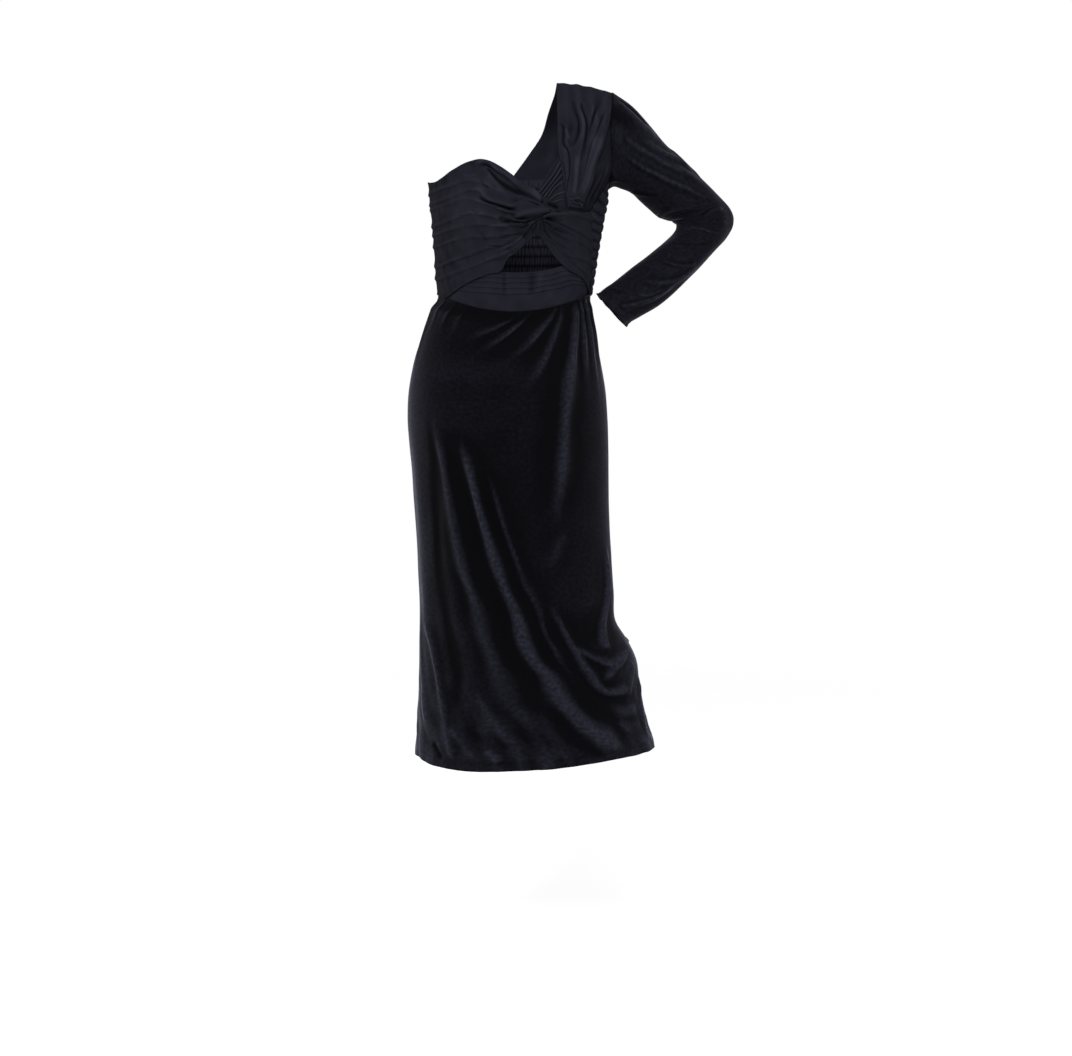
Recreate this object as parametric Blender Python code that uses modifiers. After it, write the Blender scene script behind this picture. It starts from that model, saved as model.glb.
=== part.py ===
"""One-shoulder midi dress, standing hollow as it is worn, in metres.

The pieces are modelled in the wearer's frame: X to the wearer's left, -Y in front, Z up from the
floor. They hang from an empty, which brings the underside of the strap on the shoulder to the origin.
On the torso and the skirt a place is an angle round the figure (0 in front, 90 on the wearer's left)
and a height above the floor.
"""

import math
from typing import NamedTuple

import bpy
import numpy as np

# Driving dimensions
SHOULDER = (0.1110, 0.0050, 1.5370)  # underside of the strap, on top of the shoulder
WALL = 0.0015  # cloth of one piece
SEAM = 0.0004  # clear gap between two pieces that meet edge to edge
SEAM_ANGLE = 0.17  # the same gap, as degrees round the torso
BASE_OUT = 0.0015  # outer face of the pieces that lie on the figure
TUCK_RISE = 0.0020  # what a lapped tuck adds at its folded edge
BAND_RISE = 0.0011
DRAPE_IN = 0.0033  # inner face of the draped pieces, over the band and the cup
TUCK_LIP = 0.09  # share of a tuck that its rounded edge takes
TUCK_FADE = 0.3  # how much flatter the tucks are where the knot gathers them
BAND_TUCKS = 4
BAND_PLAIN = 0.46  # share of the band below its tucks
BAND_BELLY = 0.7  # raise of that plain part half way up, as a share of a tuck's
RIGHT_TUCKS, LEFT_TUCKS = 10, 7
WAIST_SIDE = 1.2025  # height of the waist seam at the side seams
WAIST_DIP = 0.027  # how much lower it is at the front centre
WAIST_OUT = 0.0034  # outer face of the skirt at the waist seam
GATHER_DEPTH = 0.022  # how far below the seam the skirt springs out to its own width
HEM_HEIGHT = 0.4300
HEM_TILT = 0.0085  # how much higher the hem is on the wearer's left
RIGHT_SEAM = -95.0  # side seam on the wearer's right
BACK_RIGHT_SEAM = 265.0  # the same seam, counted round the back
SKIRT_SEAM = 90.0
FLAT_RADIUS = 0.135  # turns an angle into a length along the cloth when folds are laid out
FOLD_STEPS = 12  # straight pieces that a fold's bent line is measured by
SMOCK_ROWS = 12
SMOCK_IN = 0.0012  # inner face of the shirred panel
SMOCK_PUFF = 0.0017
SMOCK_TOP_FRONT = 1.385
ARMHOLE_FROM, ARMHOLE_TO = 0.42, 0.92  # stretch of the cup's side that the sleeve is sewn to
ARMHOLE_STRAP = 6.4  # section of the strap where the sleeve's seam comes out from under it
ARMHOLE_REACH = 3.0  # rings over which the sleeve leaves the armhole's shape for its own
ARMHOLE_GAP = 0.0013  # from the edges that it is sewn to, across the arm


class TorsoRow(NamedTuple):
    """Level section of the figure: an ellipse with its own depth in front and behind."""

    height: float
    middle: float
    half_width: float
    front: float
    back: float


TORSO = (
    TorsoRow(1.150, -0.0060, 0.1190, 0.086, 0.082),
    TorsoRow(1.200, -0.0045, 0.1200, 0.087, 0.084),
    TorsoRow(1.240, -0.0030, 0.1245, 0.090, 0.086),
    TorsoRow(1.280, -0.0010, 0.1285, 0.094, 0.090),
    TorsoRow(1.320, 0.0010, 0.1335, 0.098, 0.095),
    TorsoRow(1.360, 0.0030, 0.1390, 0.100, 0.100),
    TorsoRow(1.400, 0.0040, 0.1430, 0.096, 0.104),
    TorsoRow(1.440, 0.0040, 0.1460, 0.086, 0.104),
    TorsoRow(1.480, 0.0040, 0.1490, 0.072, 0.096),
)
BUST_SIDE = 0.066  # each cup's centre, from the middle
BUST_HEIGHT = 1.340
BUST_HALF = (0.046, 0.052)  # spread to the side and up
BUST_DEPTH = 0.026
SHOULDER_BULGE = 0.016  # fills the corners in front of the armhole and behind it
SHOULDER_ANGLES = (62.0, 118.0)
SHOULDER_SPREAD = 22.0
SHOULDER_FROM, SHOULDER_FULL = 1.350, 1.410


class SkirtRow(NamedTuple):
    """Level section of the skirt's outer face."""

    height: float
    right: float
    left: float
    front: float
    back: float


SKIRT = (
    SkirtRow(0.410, -0.1755, 0.2345, 0.132, 0.130),
    SkirtRow(0.446, -0.1730, 0.2305, 0.130, 0.128),
    SkirtRow(0.481, -0.1700, 0.2190, 0.127, 0.126),
    SkirtRow(0.516, -0.1685, 0.2112, 0.124, 0.124),
    SkirtRow(0.551, -0.1670, 0.2050, 0.121, 0.122),
    SkirtRow(0.586, -0.1662, 0.2000, 0.119, 0.121),
    SkirtRow(0.621, -0.1655, 0.1835, 0.117, 0.120),
    SkirtRow(0.650, -0.1648, 0.1655, 0.116, 0.119),
    SkirtRow(0.707, -0.1648, 0.1606, 0.115, 0.119),
    SkirtRow(0.759, -0.1668, 0.1568, 0.115, 0.119),
    SkirtRow(0.810, -0.1690, 0.1535, 0.115, 0.121),
    SkirtRow(0.861, -0.1718, 0.1514, 0.116, 0.124),
    SkirtRow(0.912, -0.1750, 0.1506, 0.117, 0.128),
    SkirtRow(0.962, -0.1795, 0.1500, 0.118, 0.132),
    SkirtRow(1.000, -0.1822, 0.1486, 0.118, 0.134),
    SkirtRow(1.040, -0.1808, 0.1460, 0.116, 0.131),
    SkirtRow(1.080, -0.1745, 0.1405, 0.112, 0.123),
    SkirtRow(1.112, -0.1665, 0.1350, 0.105, 0.114),
    SkirtRow(1.140, -0.1568, 0.1300, 0.098, 0.105),
    SkirtRow(1.171, -0.1450, 0.1240, 0.090, 0.096),
    SkirtRow(1.205, -0.1300, 0.1200, 0.088, 0.0865),
)


class EdgeRow(NamedTuple):
    """Point on a panel's edge: its share of the way along, then its place on the torso."""

    share: float
    angle: float
    height: float


class TopRow(NamedTuple):
    """Point on the smocked panel's top edge, under the armhole and round the back."""

    angle: float
    height: float


RIGHT_DRAPE_TOP = (
    EdgeRow(0.00, RIGHT_SEAM, 1.3850),
    EdgeRow(0.15, -79.0, 1.3785),
    EdgeRow(0.30, -61.0, 1.3835),
    EdgeRow(0.45, -43.0, 1.4020),
    EdgeRow(0.58, -30.0, 1.4130),
    EdgeRow(0.68, -20.0, 1.4140),
    EdgeRow(0.76, -12.5, 1.4055),
    EdgeRow(0.84, -4.5, 1.3918),
    EdgeRow(0.91, 3.0, 1.3768),
    EdgeRow(0.96, 10.5, 1.3675),
    EdgeRow(1.00, 15.5, 1.3520),
)
RIGHT_DRAPE_BOTTOM = (
    EdgeRow(0.00, RIGHT_SEAM, 1.2036),
    EdgeRow(0.15, -79.0, 1.2030),
    EdgeRow(0.30, -62.0, 1.1992),
    EdgeRow(0.45, -43.0, 1.2152),
    EdgeRow(0.58, -28.5, 1.2283),
    EdgeRow(0.68, -17.5, 1.2362),
    EdgeRow(0.76, -9.5, 1.2400),
    EdgeRow(0.84, -5.0, 1.2595),
    EdgeRow(0.91, 2.0, 1.2720),
    EdgeRow(0.96, 8.0, 1.2862),
    EdgeRow(1.00, 13.5, 1.2985),
)
LEFT_DRAPE_TOP = (
    EdgeRow(0.00, 17.0, 1.3440),
    EdgeRow(0.15, 24.0, 1.3365),
    EdgeRow(0.45, 38.0, 1.3345),
    EdgeRow(0.75, 49.0, 1.3330),
    EdgeRow(1.00, 57.7, 1.3345),
)
LEFT_DRAPE_BOTTOM = (
    EdgeRow(0.00, 15.0, 1.2990),
    EdgeRow(0.15, 20.3, 1.2848),
    EdgeRow(0.35, 29.5, 1.2620),
    EdgeRow(0.50, 39.5, 1.2458),
    EdgeRow(0.75, 61.0, 1.2285),
    EdgeRow(1.00, 83.7, 1.2029),
)
BAND_TOP = (
    EdgeRow(0.00, RIGHT_SEAM, 1.2300),
    EdgeRow(0.25, -60.0, 1.2370),
    EdgeRow(0.45, -28.0, 1.2405),
    EdgeRow(0.55, -9.5, 1.2387),
    EdgeRow(0.67, 10.0, 1.2387),
    EdgeRow(0.78, 28.0, 1.2436),
    EdgeRow(0.85, 40.0, 1.2490),
    EdgeRow(0.93, 58.0, 1.2400),
    EdgeRow(1.00, 78.0, 1.2200),
)
CUP_TOP = (
    EdgeRow(0.00, 12.5, 1.3600),
    EdgeRow(0.12, 16.6, 1.3830),
    EdgeRow(0.28, 22.5, 1.4090),
    EdgeRow(0.50, 36.0, 1.4450),
    EdgeRow(0.75, 50.0, 1.4680),
    EdgeRow(1.00, 62.0, 1.4850),
)
CUP_BOTTOM = (
    EdgeRow(0.00, 15.0, 1.3200),
    EdgeRow(0.50, 36.0, 1.3180),
    EdgeRow(1.00, 57.7, 1.3352),
)
CUP_SIDE = (
    EdgeRow(0.00, 57.7, 1.3352),
    EdgeRow(0.42, 75.0, 1.3850),
    EdgeRow(0.55, 72.0, 1.4050),
    EdgeRow(0.75, 66.0, 1.4350),
    EdgeRow(1.00, 62.0, 1.4850),
)
SMOCK_TOP = (
    TopRow(75.5, SMOCK_TOP_FRONT),
    TopRow(90.0, 1.3740),
    TopRow(104.0, 1.3800),
    TopRow(118.0, 1.3920),
    TopRow(170.0, 1.3960),
    TopRow(228.0, 1.3930),
    TopRow(BACK_RIGHT_SEAM, 1.3850),
)
SEAM_FOOT = (84.0, 1.2025)  # where the smocking meets the left drape, at the waist
SEAM_KNEE = (58.0, 1.3350)  # where it meets the drape's top edge and turns to the armhole


class CrossRow(NamedTuple):
    """Strap's cross section that lies on the torso, from its neck side to its arm side."""

    neck_angle: float
    neck_height: float
    arm_angle: float
    arm_height: float


class FootRow(NamedTuple):
    """Strap's cross section where it is sewn along the smocked panel's top edge."""

    neck_angle: float
    arm_angle: float


class SpanRow(NamedTuple):
    """Strap's cross section over the shoulder, as two places in space and a rise in the middle."""

    neck: tuple
    arm: tuple
    crown: float


STRAP = (
    CrossRow(34.5, 1.3400, 47.5, 1.3395),
    CrossRow(32.7, 1.3537, 49.2, 1.3556),
    CrossRow(30.3, 1.3740, 50.8, 1.3791),
    CrossRow(27.5, 1.3977, 51.1, 1.4125),
    CrossRow(25.0, 1.4295, 55.2, 1.4379),
    CrossRow(24.1, 1.4533, 57.5, 1.4600),
    CrossRow(23.7, 1.4750, 59.8, 1.4796),
    SpanRow((0.0655, -0.0560, 1.5030), (0.1541, -0.0400, 1.4980), 0.003),
    SpanRow((0.0650, -0.0300, 1.5270), (0.1557, -0.0210, 1.5150), 0.003),
    SpanRow((0.0655, 0.0050, 1.5440), (0.1562, 0.0050, 1.5280), 0.003),
    SpanRow((0.0620, 0.0400, 1.5290), (0.1553, 0.0330, 1.5160), 0.003),
    SpanRow((0.0520, 0.0720, 1.5030), (0.1525, 0.0520, 1.4960), 0.003),
    CrossRow(166.0, 1.4700, 118.0, 1.4680),
    CrossRow(175.0, 1.4350, 116.0, 1.4300),
    FootRow(187.0, 112.0),
)
STRAP_TOP = 9  # number of the section at the shoulder seam
STRAP_SEAM = 0.009  # half the seam's gap, as a share of the distance between sections


class SleeveRow(NamedTuple):
    """Ring of the sleeve's outer face, between its outermost and innermost points."""

    number: float
    outer_x: float
    outer_z: float
    inner_x: float
    inner_z: float
    middle_y: float
    half_depth: float


SLEEVE = (
    SleeveRow(0, 0.1572, 1.5280, 0.1532, 1.3775, 0.008, 0.054),
    SleeveRow(1, 0.1903, 1.5065, 0.1625, 1.3775, 0.012, 0.051),
    SleeveRow(2, 0.2188, 1.4775, 0.1736, 1.3740, 0.018, 0.048),
    SleeveRow(3, 0.2440, 1.4500, 0.1890, 1.3700, 0.025, 0.046),
    SleeveRow(4, 0.2710, 1.4265, 0.2050, 1.3600, 0.033, 0.045),
    SleeveRow(5, 0.2993, 1.4000, 0.2210, 1.3490, 0.042, 0.045),
    SleeveRow(6, 0.3254, 1.3744, 0.2370, 1.3385, 0.050, 0.044),
    SleeveRow(7, 0.3440, 1.3540, 0.2530, 1.3310, 0.056, 0.043),
    SleeveRow(8, 0.3555, 1.3371, 0.2660, 1.3262, 0.059, 0.043),
    SleeveRow(9, 0.3591, 1.3239, 0.2690, 1.3190, 0.060, 0.043),
    SleeveRow(10, 0.3555, 1.3110, 0.2680, 1.3107, 0.060, 0.042),
    SleeveRow(11, 0.3442, 1.2940, 0.2601, 1.3007, 0.057, 0.041),
    SleeveRow(12, 0.3254, 1.2740, 0.2430, 1.2856, 0.051, 0.040),
    SleeveRow(13, 0.2997, 1.2457, 0.2191, 1.2655, 0.042, 0.039),
    SleeveRow(14, 0.2706, 1.2174, 0.1919, 1.2455, 0.031, 0.038),
    SleeveRow(15, 0.2383, 1.1910, 0.1660, 1.2256, 0.019, 0.036),
    SleeveRow(16, 0.2062, 1.1712, 0.1475, 1.2124, 0.010, 0.034),
    SleeveRow(17, 0.1777, 1.1549, 0.1343, 1.2009, 0.003, 0.031),
)
SLEEVE_FLAT = (0.045, 0.027)  # length of a radian round the sleeve, and of one ring along it


class Fold(NamedTuple):
    """Soft ridge on the cloth along a bent line, or a trough where its rise is negative."""

    start: tuple
    middle: tuple
    end: tuple
    width: float
    rise: float


SKIRT_FOLDS = (
    Fold((-47, 0.985), (-36, 0.835), (-18, 0.616), 0.018, 0.0060),
    Fold((-24, 0.940), (-3, 0.705), (56, 0.446), 0.020, 0.0095),
    Fold((-17, 0.972), (2, 0.794), (20, 0.628), 0.016, 0.0050),
    Fold((12, 0.782), (32, 0.605), (76, 0.556), 0.018, 0.0095),
    Fold((55, 1.178), (38, 1.024), (25, 0.846), 0.022, 0.0065),
    Fold((40, 1.176), (22, 1.124), (-2, 1.084), 0.012, 0.0045),
    Fold((16, 1.172), (3, 1.145), (-20, 1.120), 0.012, 0.0045),
    Fold((72, 1.185), (66, 1.114), (57, 1.045), 0.012, 0.0045),
    Fold((-62, 1.192), (-61, 1.165), (-59, 1.120), 0.012, 0.0045),
    Fold((-75, 0.660), (-62, 0.547), (-49, 0.462), 0.016, 0.0045),
    Fold((-32, 0.640), (-20, 0.550), (-4, 0.460), 0.015, 0.0055),
    Fold((80, 0.652), (58, 0.630), (36, 0.622), 0.014, -0.0060),
    Fold((86, 0.522), (60, 0.506), (34, 0.534), 0.015, 0.0055),
    Fold((112, 1.178), (118, 1.110), (124, 1.040), 0.015, 0.0050),
    Fold((141, 1.186), (144, 1.120), (150, 1.060), 0.014, 0.0035),
    Fold((196, 1.186), (199, 1.140), (206, 1.085), 0.014, 0.0040),
    Fold((242, 1.188), (240, 1.120), (233, 1.060), 0.015, 0.0050),
    Fold((128, 0.930), (141, 0.720), (166, 0.520), 0.022, 0.0080),
    Fold((168, 0.960), (176, 0.780), (190, 0.600), 0.020, 0.0055),
    Fold((222, 0.950), (212, 0.750), (205, 0.540), 0.022, 0.0075),
    Fold((104, 0.610), (126, 0.560), (152, 0.470), 0.018, 0.0070),
    Fold((251, 0.640), (244, 0.540), (232, 0.450), 0.018, 0.0055),
)
DRAPE_FOLDS = (
    Fold((-25, 1.4030), (-8, 1.3850), (6, 1.3600), 0.0085, 0.0045),
    Fold((-30, 1.3640), (-14, 1.3590), (2, 1.3420), 0.0075, 0.0030),
    Fold((-24, 1.3240), (-10, 1.3180), (4, 1.3210), 0.0070, 0.0025),
    Fold((-26, 1.2900), (-12, 1.2870), (4, 1.3020), 0.0070, 0.0025),
    Fold((58, 1.3080), (42, 1.3180), (28, 1.3260), 0.0075, 0.0025),
    Fold((66, 1.2600), (46, 1.2860), (26, 1.3080), 0.0075, 0.0025),
)
STRAP_FOLDS = (
    Fold((0.18, 0.0), (0.20, 3.5), (0.10, 8.6), 0.0050, 0.0030),
    Fold((0.42, 0.0), (0.46, 3.0), (0.36, 8.8), 0.0055, 0.0035),
    Fold((0.66, 0.0), (0.66, 4.0), (0.62, 9.0), 0.0055, 0.0030),
    Fold((0.86, 1.5), (0.88, 5.0), (0.86, 9.0), 0.0050, 0.0025),
    Fold((0.30, 2.0), (0.34, 5.0), (0.22, 9.0), 0.0045, -0.0012),
)
STRAP_FLAT = (0.075, 0.021)  # width of the strap, and the distance between its sections
SLEEVE_FOLDS = (
    Fold((28, 0.2), (20, 1.2), (8, 2.6), 0.009, 0.0030),
    Fold((75, 0.8), (55, 3.4), (25, 6.2), 0.010, 0.0035),
    Fold((112, 0.8), (86, 3.6), (40, 7.2), 0.010, 0.0030),
    Fold((160, 7.8), (95, 8.5), (25, 8.8), 0.009, 0.0030),
    Fold((165, 10.2), (100, 10.0), (35, 10.4), 0.009, 0.0030),
    Fold((155, 12.0), (95, 12.2), (35, 11.2), 0.009, 0.0030),
    Fold((150, 13.8), (95, 14.2), (45, 13.0), 0.010, 0.0030),
    Fold((150, 15.6), (95, 15.8), (40, 14.6), 0.009, 0.0025),
    Fold((235, 0.9), (262, 3.6), (322, 6.6), 0.010, 0.0035),
    Fold((205, 8.2), (268, 8.8), (330, 8.6), 0.009, 0.0030),
    Fold((205, 10.8), (262, 10.6), (322, 11.2), 0.009, 0.0030),
    Fold((210, 13.4), (265, 13.8), (318, 12.8), 0.010, 0.0030),
)

KNOT_ANGLE, KNOT_HEIGHT = 15.2, 1.3239
KNOT_FLAT = 0.133  # length of a radian round the torso at the knot
KNOT_IN = 0.0092  # inner face of the knot, over the drapes
KNOT_EDGE = 0.0014
KNOT_POINTS = 21  # points across the knot, each way
KNOT_CLEAR = 1.45  # the drapes' own folds start this far out, as a share of the knot's reach
KNOT_FOLDS = (
    Fold((-12, 1.3290), (5, 1.3385), (24, 1.3345), 0.0090, 0.0115),
    Fold((-2, 1.3740), (9, 1.3610), (20, 1.3400), 0.0080, 0.0100),
    Fold((-14, 1.3150), (1, 1.3140), (17, 1.3230), 0.0065, 0.0075),
    Fold((-6, 1.2940), (5, 1.3010), (14, 1.3200), 0.0065, 0.0070),
    Fold((12, 1.2900), (15, 1.3050), (15, 1.3220), 0.0055, 0.0065),
    Fold((34, 1.2900), (24, 1.3060), (14, 1.3220), 0.0065, 0.0075),
    Fold((42, 1.3130), (29, 1.3170), (14, 1.3250), 0.0060, 0.0070),
    Fold((42, 1.3330), (29, 1.3340), (16, 1.3290), 0.0065, 0.0080),
)
KNOT_BLEND = 4  # how sharply one fold gives way to the next


class ReachRow(NamedTuple):
    """How far the knot reaches from its centre: a direction in degrees, 0 to the wearer's left."""

    direction: float
    reach: float


KNOT_REACH = (
    ReachRow(0, 0.038),
    ReachRow(35, 0.024),
    ReachRow(90, 0.022),
    ReachRow(118, 0.034),
    ReachRow(140, 0.045),
    ReachRow(165, 0.052),
    ReachRow(188, 0.055),
    ReachRow(215, 0.040),
    ReachRow(245, 0.028),
    ReachRow(270, 0.026),
    ReachRow(300, 0.027),
    ReachRow(330, 0.034),
    ReachRow(360, 0.038),
)

SATIN = ((0.022, 0.023, 0.028), 0.55)
VELVET = ((0.006, 0.006, 0.008), 0.85)


# Curves and reliefs


def smooth(rows, column, at):
    """A table's column at the given places, on a smooth curve through its rows."""
    places = np.array([row[0] for row in rows], float)
    values = np.array([getattr(row, column) for row in rows], float)
    slopes = np.gradient(values, places)
    at = np.clip(at, places[0], places[-1])
    low = np.clip(np.searchsorted(places, at, side="right") - 1, 0, len(places) - 2)
    step = places[low + 1] - places[low]
    part = (at - places[low]) / step
    bend = part * part * (3 - 2 * part)
    leave = part * (1 - part) ** 2 * step * slopes[low]
    reach = part * part * (part - 1) * step * slopes[low + 1]
    return values[low] + (values[low + 1] - values[low]) * bend + leave + reach


def soft_step(value, low, high):
    """0 below low, 1 above high and a soft rise between."""
    part = np.clip((value - low) / (high - low), 0, 1)
    return part * part * (3 - 2 * part)


def mix(first, second, share):
    return first + (second - first) * share


def fold_heights(folds, across, along, flat_across, flat_along=1.0):
    """Height of each fold at places given by two coordinates, scaled to lengths along the cloth."""
    scale = np.array([flat_across, flat_along])
    places = np.stack([across, along], axis=-1) * scale
    steps = np.linspace(0, 1, FOLD_STEPS + 1)[:, None]
    heights = []
    for fold in folds:
        start, middle, end = (np.array(point, float) * scale for point in fold[:3])
        bend = 2 * middle - (start + end) / 2
        line = (1 - steps) ** 2 * start + 2 * steps * (1 - steps) * bend + steps**2 * end
        span = np.diff(line, axis=0)
        gap = places[..., None, :] - line[:-1]
        share = np.clip((gap * span).sum(axis=-1) / (span**2).sum(axis=-1), 0, 1)
        distance = np.linalg.norm(gap - share[..., None] * span, axis=-1)
        near = distance.argmin(axis=-1)[..., None]
        length = (near + np.take_along_axis(share, near, axis=-1))[..., 0] / FOLD_STEPS
        taper = np.sqrt(np.clip(4 * length * (1 - length), 0, 1))
        heights.append(fold.rise * taper * np.exp(-((distance.min(axis=-1) / fold.width) ** 2)))
    return np.array(heights)


def fold_relief(folds, across, along, flat_across, flat_along=1.0):
    """Sum of the folds."""
    return fold_heights(folds, across, along, flat_across, flat_along).sum(axis=0)


def tuck_rows(count, plain=0.0):
    """Rows up a tucked panel as (share, raise): each tuck is high at its folded lower edge."""
    rows = [(0.0, 1.0)]
    if plain:
        rows.append((plain / 2, BAND_BELLY))
    size = (1 - plain) / count
    for number in range(0 if plain else 1, count):
        edge = plain + number * size
        rows.append((edge - TUCK_LIP * size / 2, 0.0))
        rows.append((edge + TUCK_LIP * size / 2, 1.0))
    rows.append((1.0, 0.0))
    return np.array(rows)


# Surfaces


def torso(angle, height, out):
    """Points on the general figure's torso, moved out by a distance."""
    angle, height = np.broadcast_arrays(angle, height)
    sine, cosine = np.sin(np.radians(angle)), np.cos(np.radians(angle))
    full = soft_step(height, SHOULDER_FROM, SHOULDER_FULL) * SHOULDER_BULGE
    for centre in SHOULDER_ANGLES:
        out = out + full * np.exp(-(((angle - centre) / SHOULDER_SPREAD) ** 2))
    front = smooth(TORSO, "front", height)
    depth = np.where(cosine > 0, front, smooth(TORSO, "back", height))
    side = (smooth(TORSO, "half_width", height) + out) * sine
    bust = sum(np.exp(-(((side - centre) / BUST_HALF[0]) ** 2)) for centre in (-BUST_SIDE, BUST_SIDE))
    bust = bust * np.exp(-(((height - BUST_HEIGHT) / BUST_HALF[1]) ** 2)) * BUST_DEPTH
    depth = depth + np.where(cosine > 0, bust, 0.0)
    x = smooth(TORSO, "middle", height) + side
    return np.stack([x, -(depth + out) * cosine, height + 0.0 * x], axis=-1)


def skirt(angle, height, out):
    """Points on the skirt's outer face, moved out by a distance."""
    sine, cosine = np.sin(np.radians(angle)), np.cos(np.radians(angle))
    right = smooth(SKIRT, "right", height)
    left = smooth(SKIRT, "left", height)
    front = smooth(SKIRT, "front", height)
    depth = np.where(cosine > 0, front, smooth(SKIRT, "back", height))
    x = (left + right) / 2 + ((left - right) / 2 + out) * sine
    return np.stack([x, -(depth + out) * cosine, height + 0.0 * x], axis=-1)


def waist_height(angle):
    """The waist seam: level behind and dipping to the front centre."""
    return WAIST_SIDE - WAIST_DIP * np.maximum(np.cos(np.radians(angle)), 0) ** 2


def seam_angle(height):
    """Front edge of the smocked panel: up and forward to the drape's top, then to the armhole."""
    low = mix(SEAM_FOOT[0], SEAM_KNEE[0], (height - SEAM_FOOT[1]) / (SEAM_KNEE[1] - SEAM_FOOT[1]))
    share = (height - SEAM_KNEE[1]) / (SMOCK_TOP_FRONT - SEAM_KNEE[1])
    high = mix(SEAM_KNEE[0], SMOCK_TOP[0].angle, share)
    return np.where(height < SEAM_KNEE[1], low, high)


def knot_reach(right, up):
    """How far the knot reaches from its centre in a direction."""
    return smooth(KNOT_REACH, "reach", np.degrees(np.arctan2(up, right)) % 360)


def knot_share(angle, height):
    """Distance from the knot's centre, as a share of its reach that way."""
    right, up = np.radians(angle - KNOT_ANGLE) * KNOT_FLAT, height - KNOT_HEIGHT
    return np.hypot(right, up) / knot_reach(right, up)


def ruled(bottom, top, across, up):
    """Angle and height between two edges."""
    angle = mix(smooth(bottom, "angle", across), smooth(top, "angle", across), up)
    height = mix(smooth(bottom, "height", across), smooth(top, "height", across), up)
    return angle, height


# Objects


def new_material(name, finish):
    colour, roughness = finish
    material = bpy.data.materials.new(name)
    material.use_nodes = True
    shader = material.node_tree.nodes["Principled BSDF"]
    shader.inputs["Base Color"].default_value = (*colour, 1)
    shader.inputs["Roughness"].default_value = roughness
    shader.inputs["Metallic"].default_value = 0.0
    material.diffuse_color = (*colour, 1)
    return material


def new_piece(name, points, faces, finish, dress):
    """One named solid, hung from the dress's empty."""
    mesh = bpy.data.meshes.new(name)
    mesh.from_pydata(points.tolist(), [], faces)
    mesh.materials.append(new_material(name, finish))
    mesh.shade_smooth()
    mesh.set_sharp_from_angle(angle=math.radians(35))
    piece = bpy.data.objects.new(name, mesh)
    piece.parent = dress
    bpy.data.collections[dress.name].objects.link(piece)
    return piece


def grid_faces(rows, columns, wrap):
    """Quads of a grid whose rows go up and whose columns go to the wearer's left."""
    faces = []
    for row in range(rows - 1):
        for column in range(columns if wrap else columns - 1):
            here = row * columns + column
            beside = row * columns + (column + 1) % columns
            faces.append((here, beside, beside + columns, here + columns))
    return faces


def cloth(name, grid, finish, dress, wrap=False):
    """Piece of even thickness under an outer face of points."""
    rows, columns = grid.shape[:2]
    piece = new_piece(name, grid.reshape(-1, 3), grid_faces(rows, columns, wrap), finish, dress)
    thick = piece.modifiers.new("thickness", "SOLIDIFY")
    thick.thickness = WALL
    thick.offset = -1
    return piece


def rim_faces(rows, columns, shift):
    """Quads that close the edges between an outer grid and the inner one after it."""
    last = (rows - 1) * columns
    faces = []
    for column in range(columns - 1):
        here, beside = column, column + 1
        faces.append((beside, here, here + shift, beside + shift))
        here, beside = last + here, last + beside
        faces.append((here, beside, beside + shift, here + shift))
    for row in range(rows - 1):
        here = row * columns
        above = here + columns
        faces.append((here, above, above + shift, here + shift))
        here, above = here + columns - 1, above + columns - 1
        faces.append((above, here, here + shift, above + shift))
    return faces


def raised_cloth(name, inner, outer, finish, dress):
    """Piece whose outer points are raised over a plain inside."""
    rows, columns = inner.shape[:2]
    shift = rows * columns
    faces = grid_faces(rows, columns, False)
    faces += [tuple(corner + shift for corner in reversed(face)) for face in faces]
    faces += rim_faces(rows, columns, shift)
    points = np.concatenate([outer.reshape(-1, 3), inner.reshape(-1, 3)])
    return new_piece(name, points, faces, finish, dress)


# Pieces


def add_skirt(name, first, last, rows, columns, dress):
    """Panel of the skirt between two side seams, with its folds moving the whole wall."""
    share, up = np.meshgrid(np.linspace(0, 1, columns), np.linspace(0, 1, rows))
    angle = mix(first + SEAM_ANGLE, last - SEAM_ANGLE, share)
    hem = HEM_HEIGHT + HEM_TILT * np.sin(np.radians(angle))
    height = mix(hem, waist_height(angle) - SEAM, up)
    relief = fold_relief(SKIRT_FOLDS, angle, height, math.radians(1) * FLAT_RADIUS)
    sewn = soft_step(height, waist_height(angle) - GATHER_DEPTH, waist_height(angle))[..., None]
    face = mix(skirt(angle, height, relief), torso(angle, height, WAIST_OUT), sewn)
    cloth(name, face, VELVET, dress)


def add_drape(name, bottom, top, tucks, columns, dress):
    """Tucked panel that fans out from the knot and lies over the band and the cup."""
    profile = tuck_rows(tucks)
    across, up = np.meshgrid(np.linspace(0, 1, columns), profile[:, 0])
    angle, height = ruled(bottom, top, across, up)
    gathered = across if bottom is RIGHT_DRAPE_BOTTOM else 1 - across
    raised = profile[:, 1][:, None] * TUCK_RISE * (1 - TUCK_FADE * gathered)
    relief = fold_relief(DRAPE_FOLDS, angle, height, math.radians(1) * FLAT_RADIUS)
    relief = relief * soft_step(knot_share(angle, height), 1, KNOT_CLEAR)
    inner = torso(angle, height, DRAPE_IN)
    outer = torso(angle, height, DRAPE_IN + WALL + raised + relief)
    raised_cloth(name, inner, outer, SATIN, dress)


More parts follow.
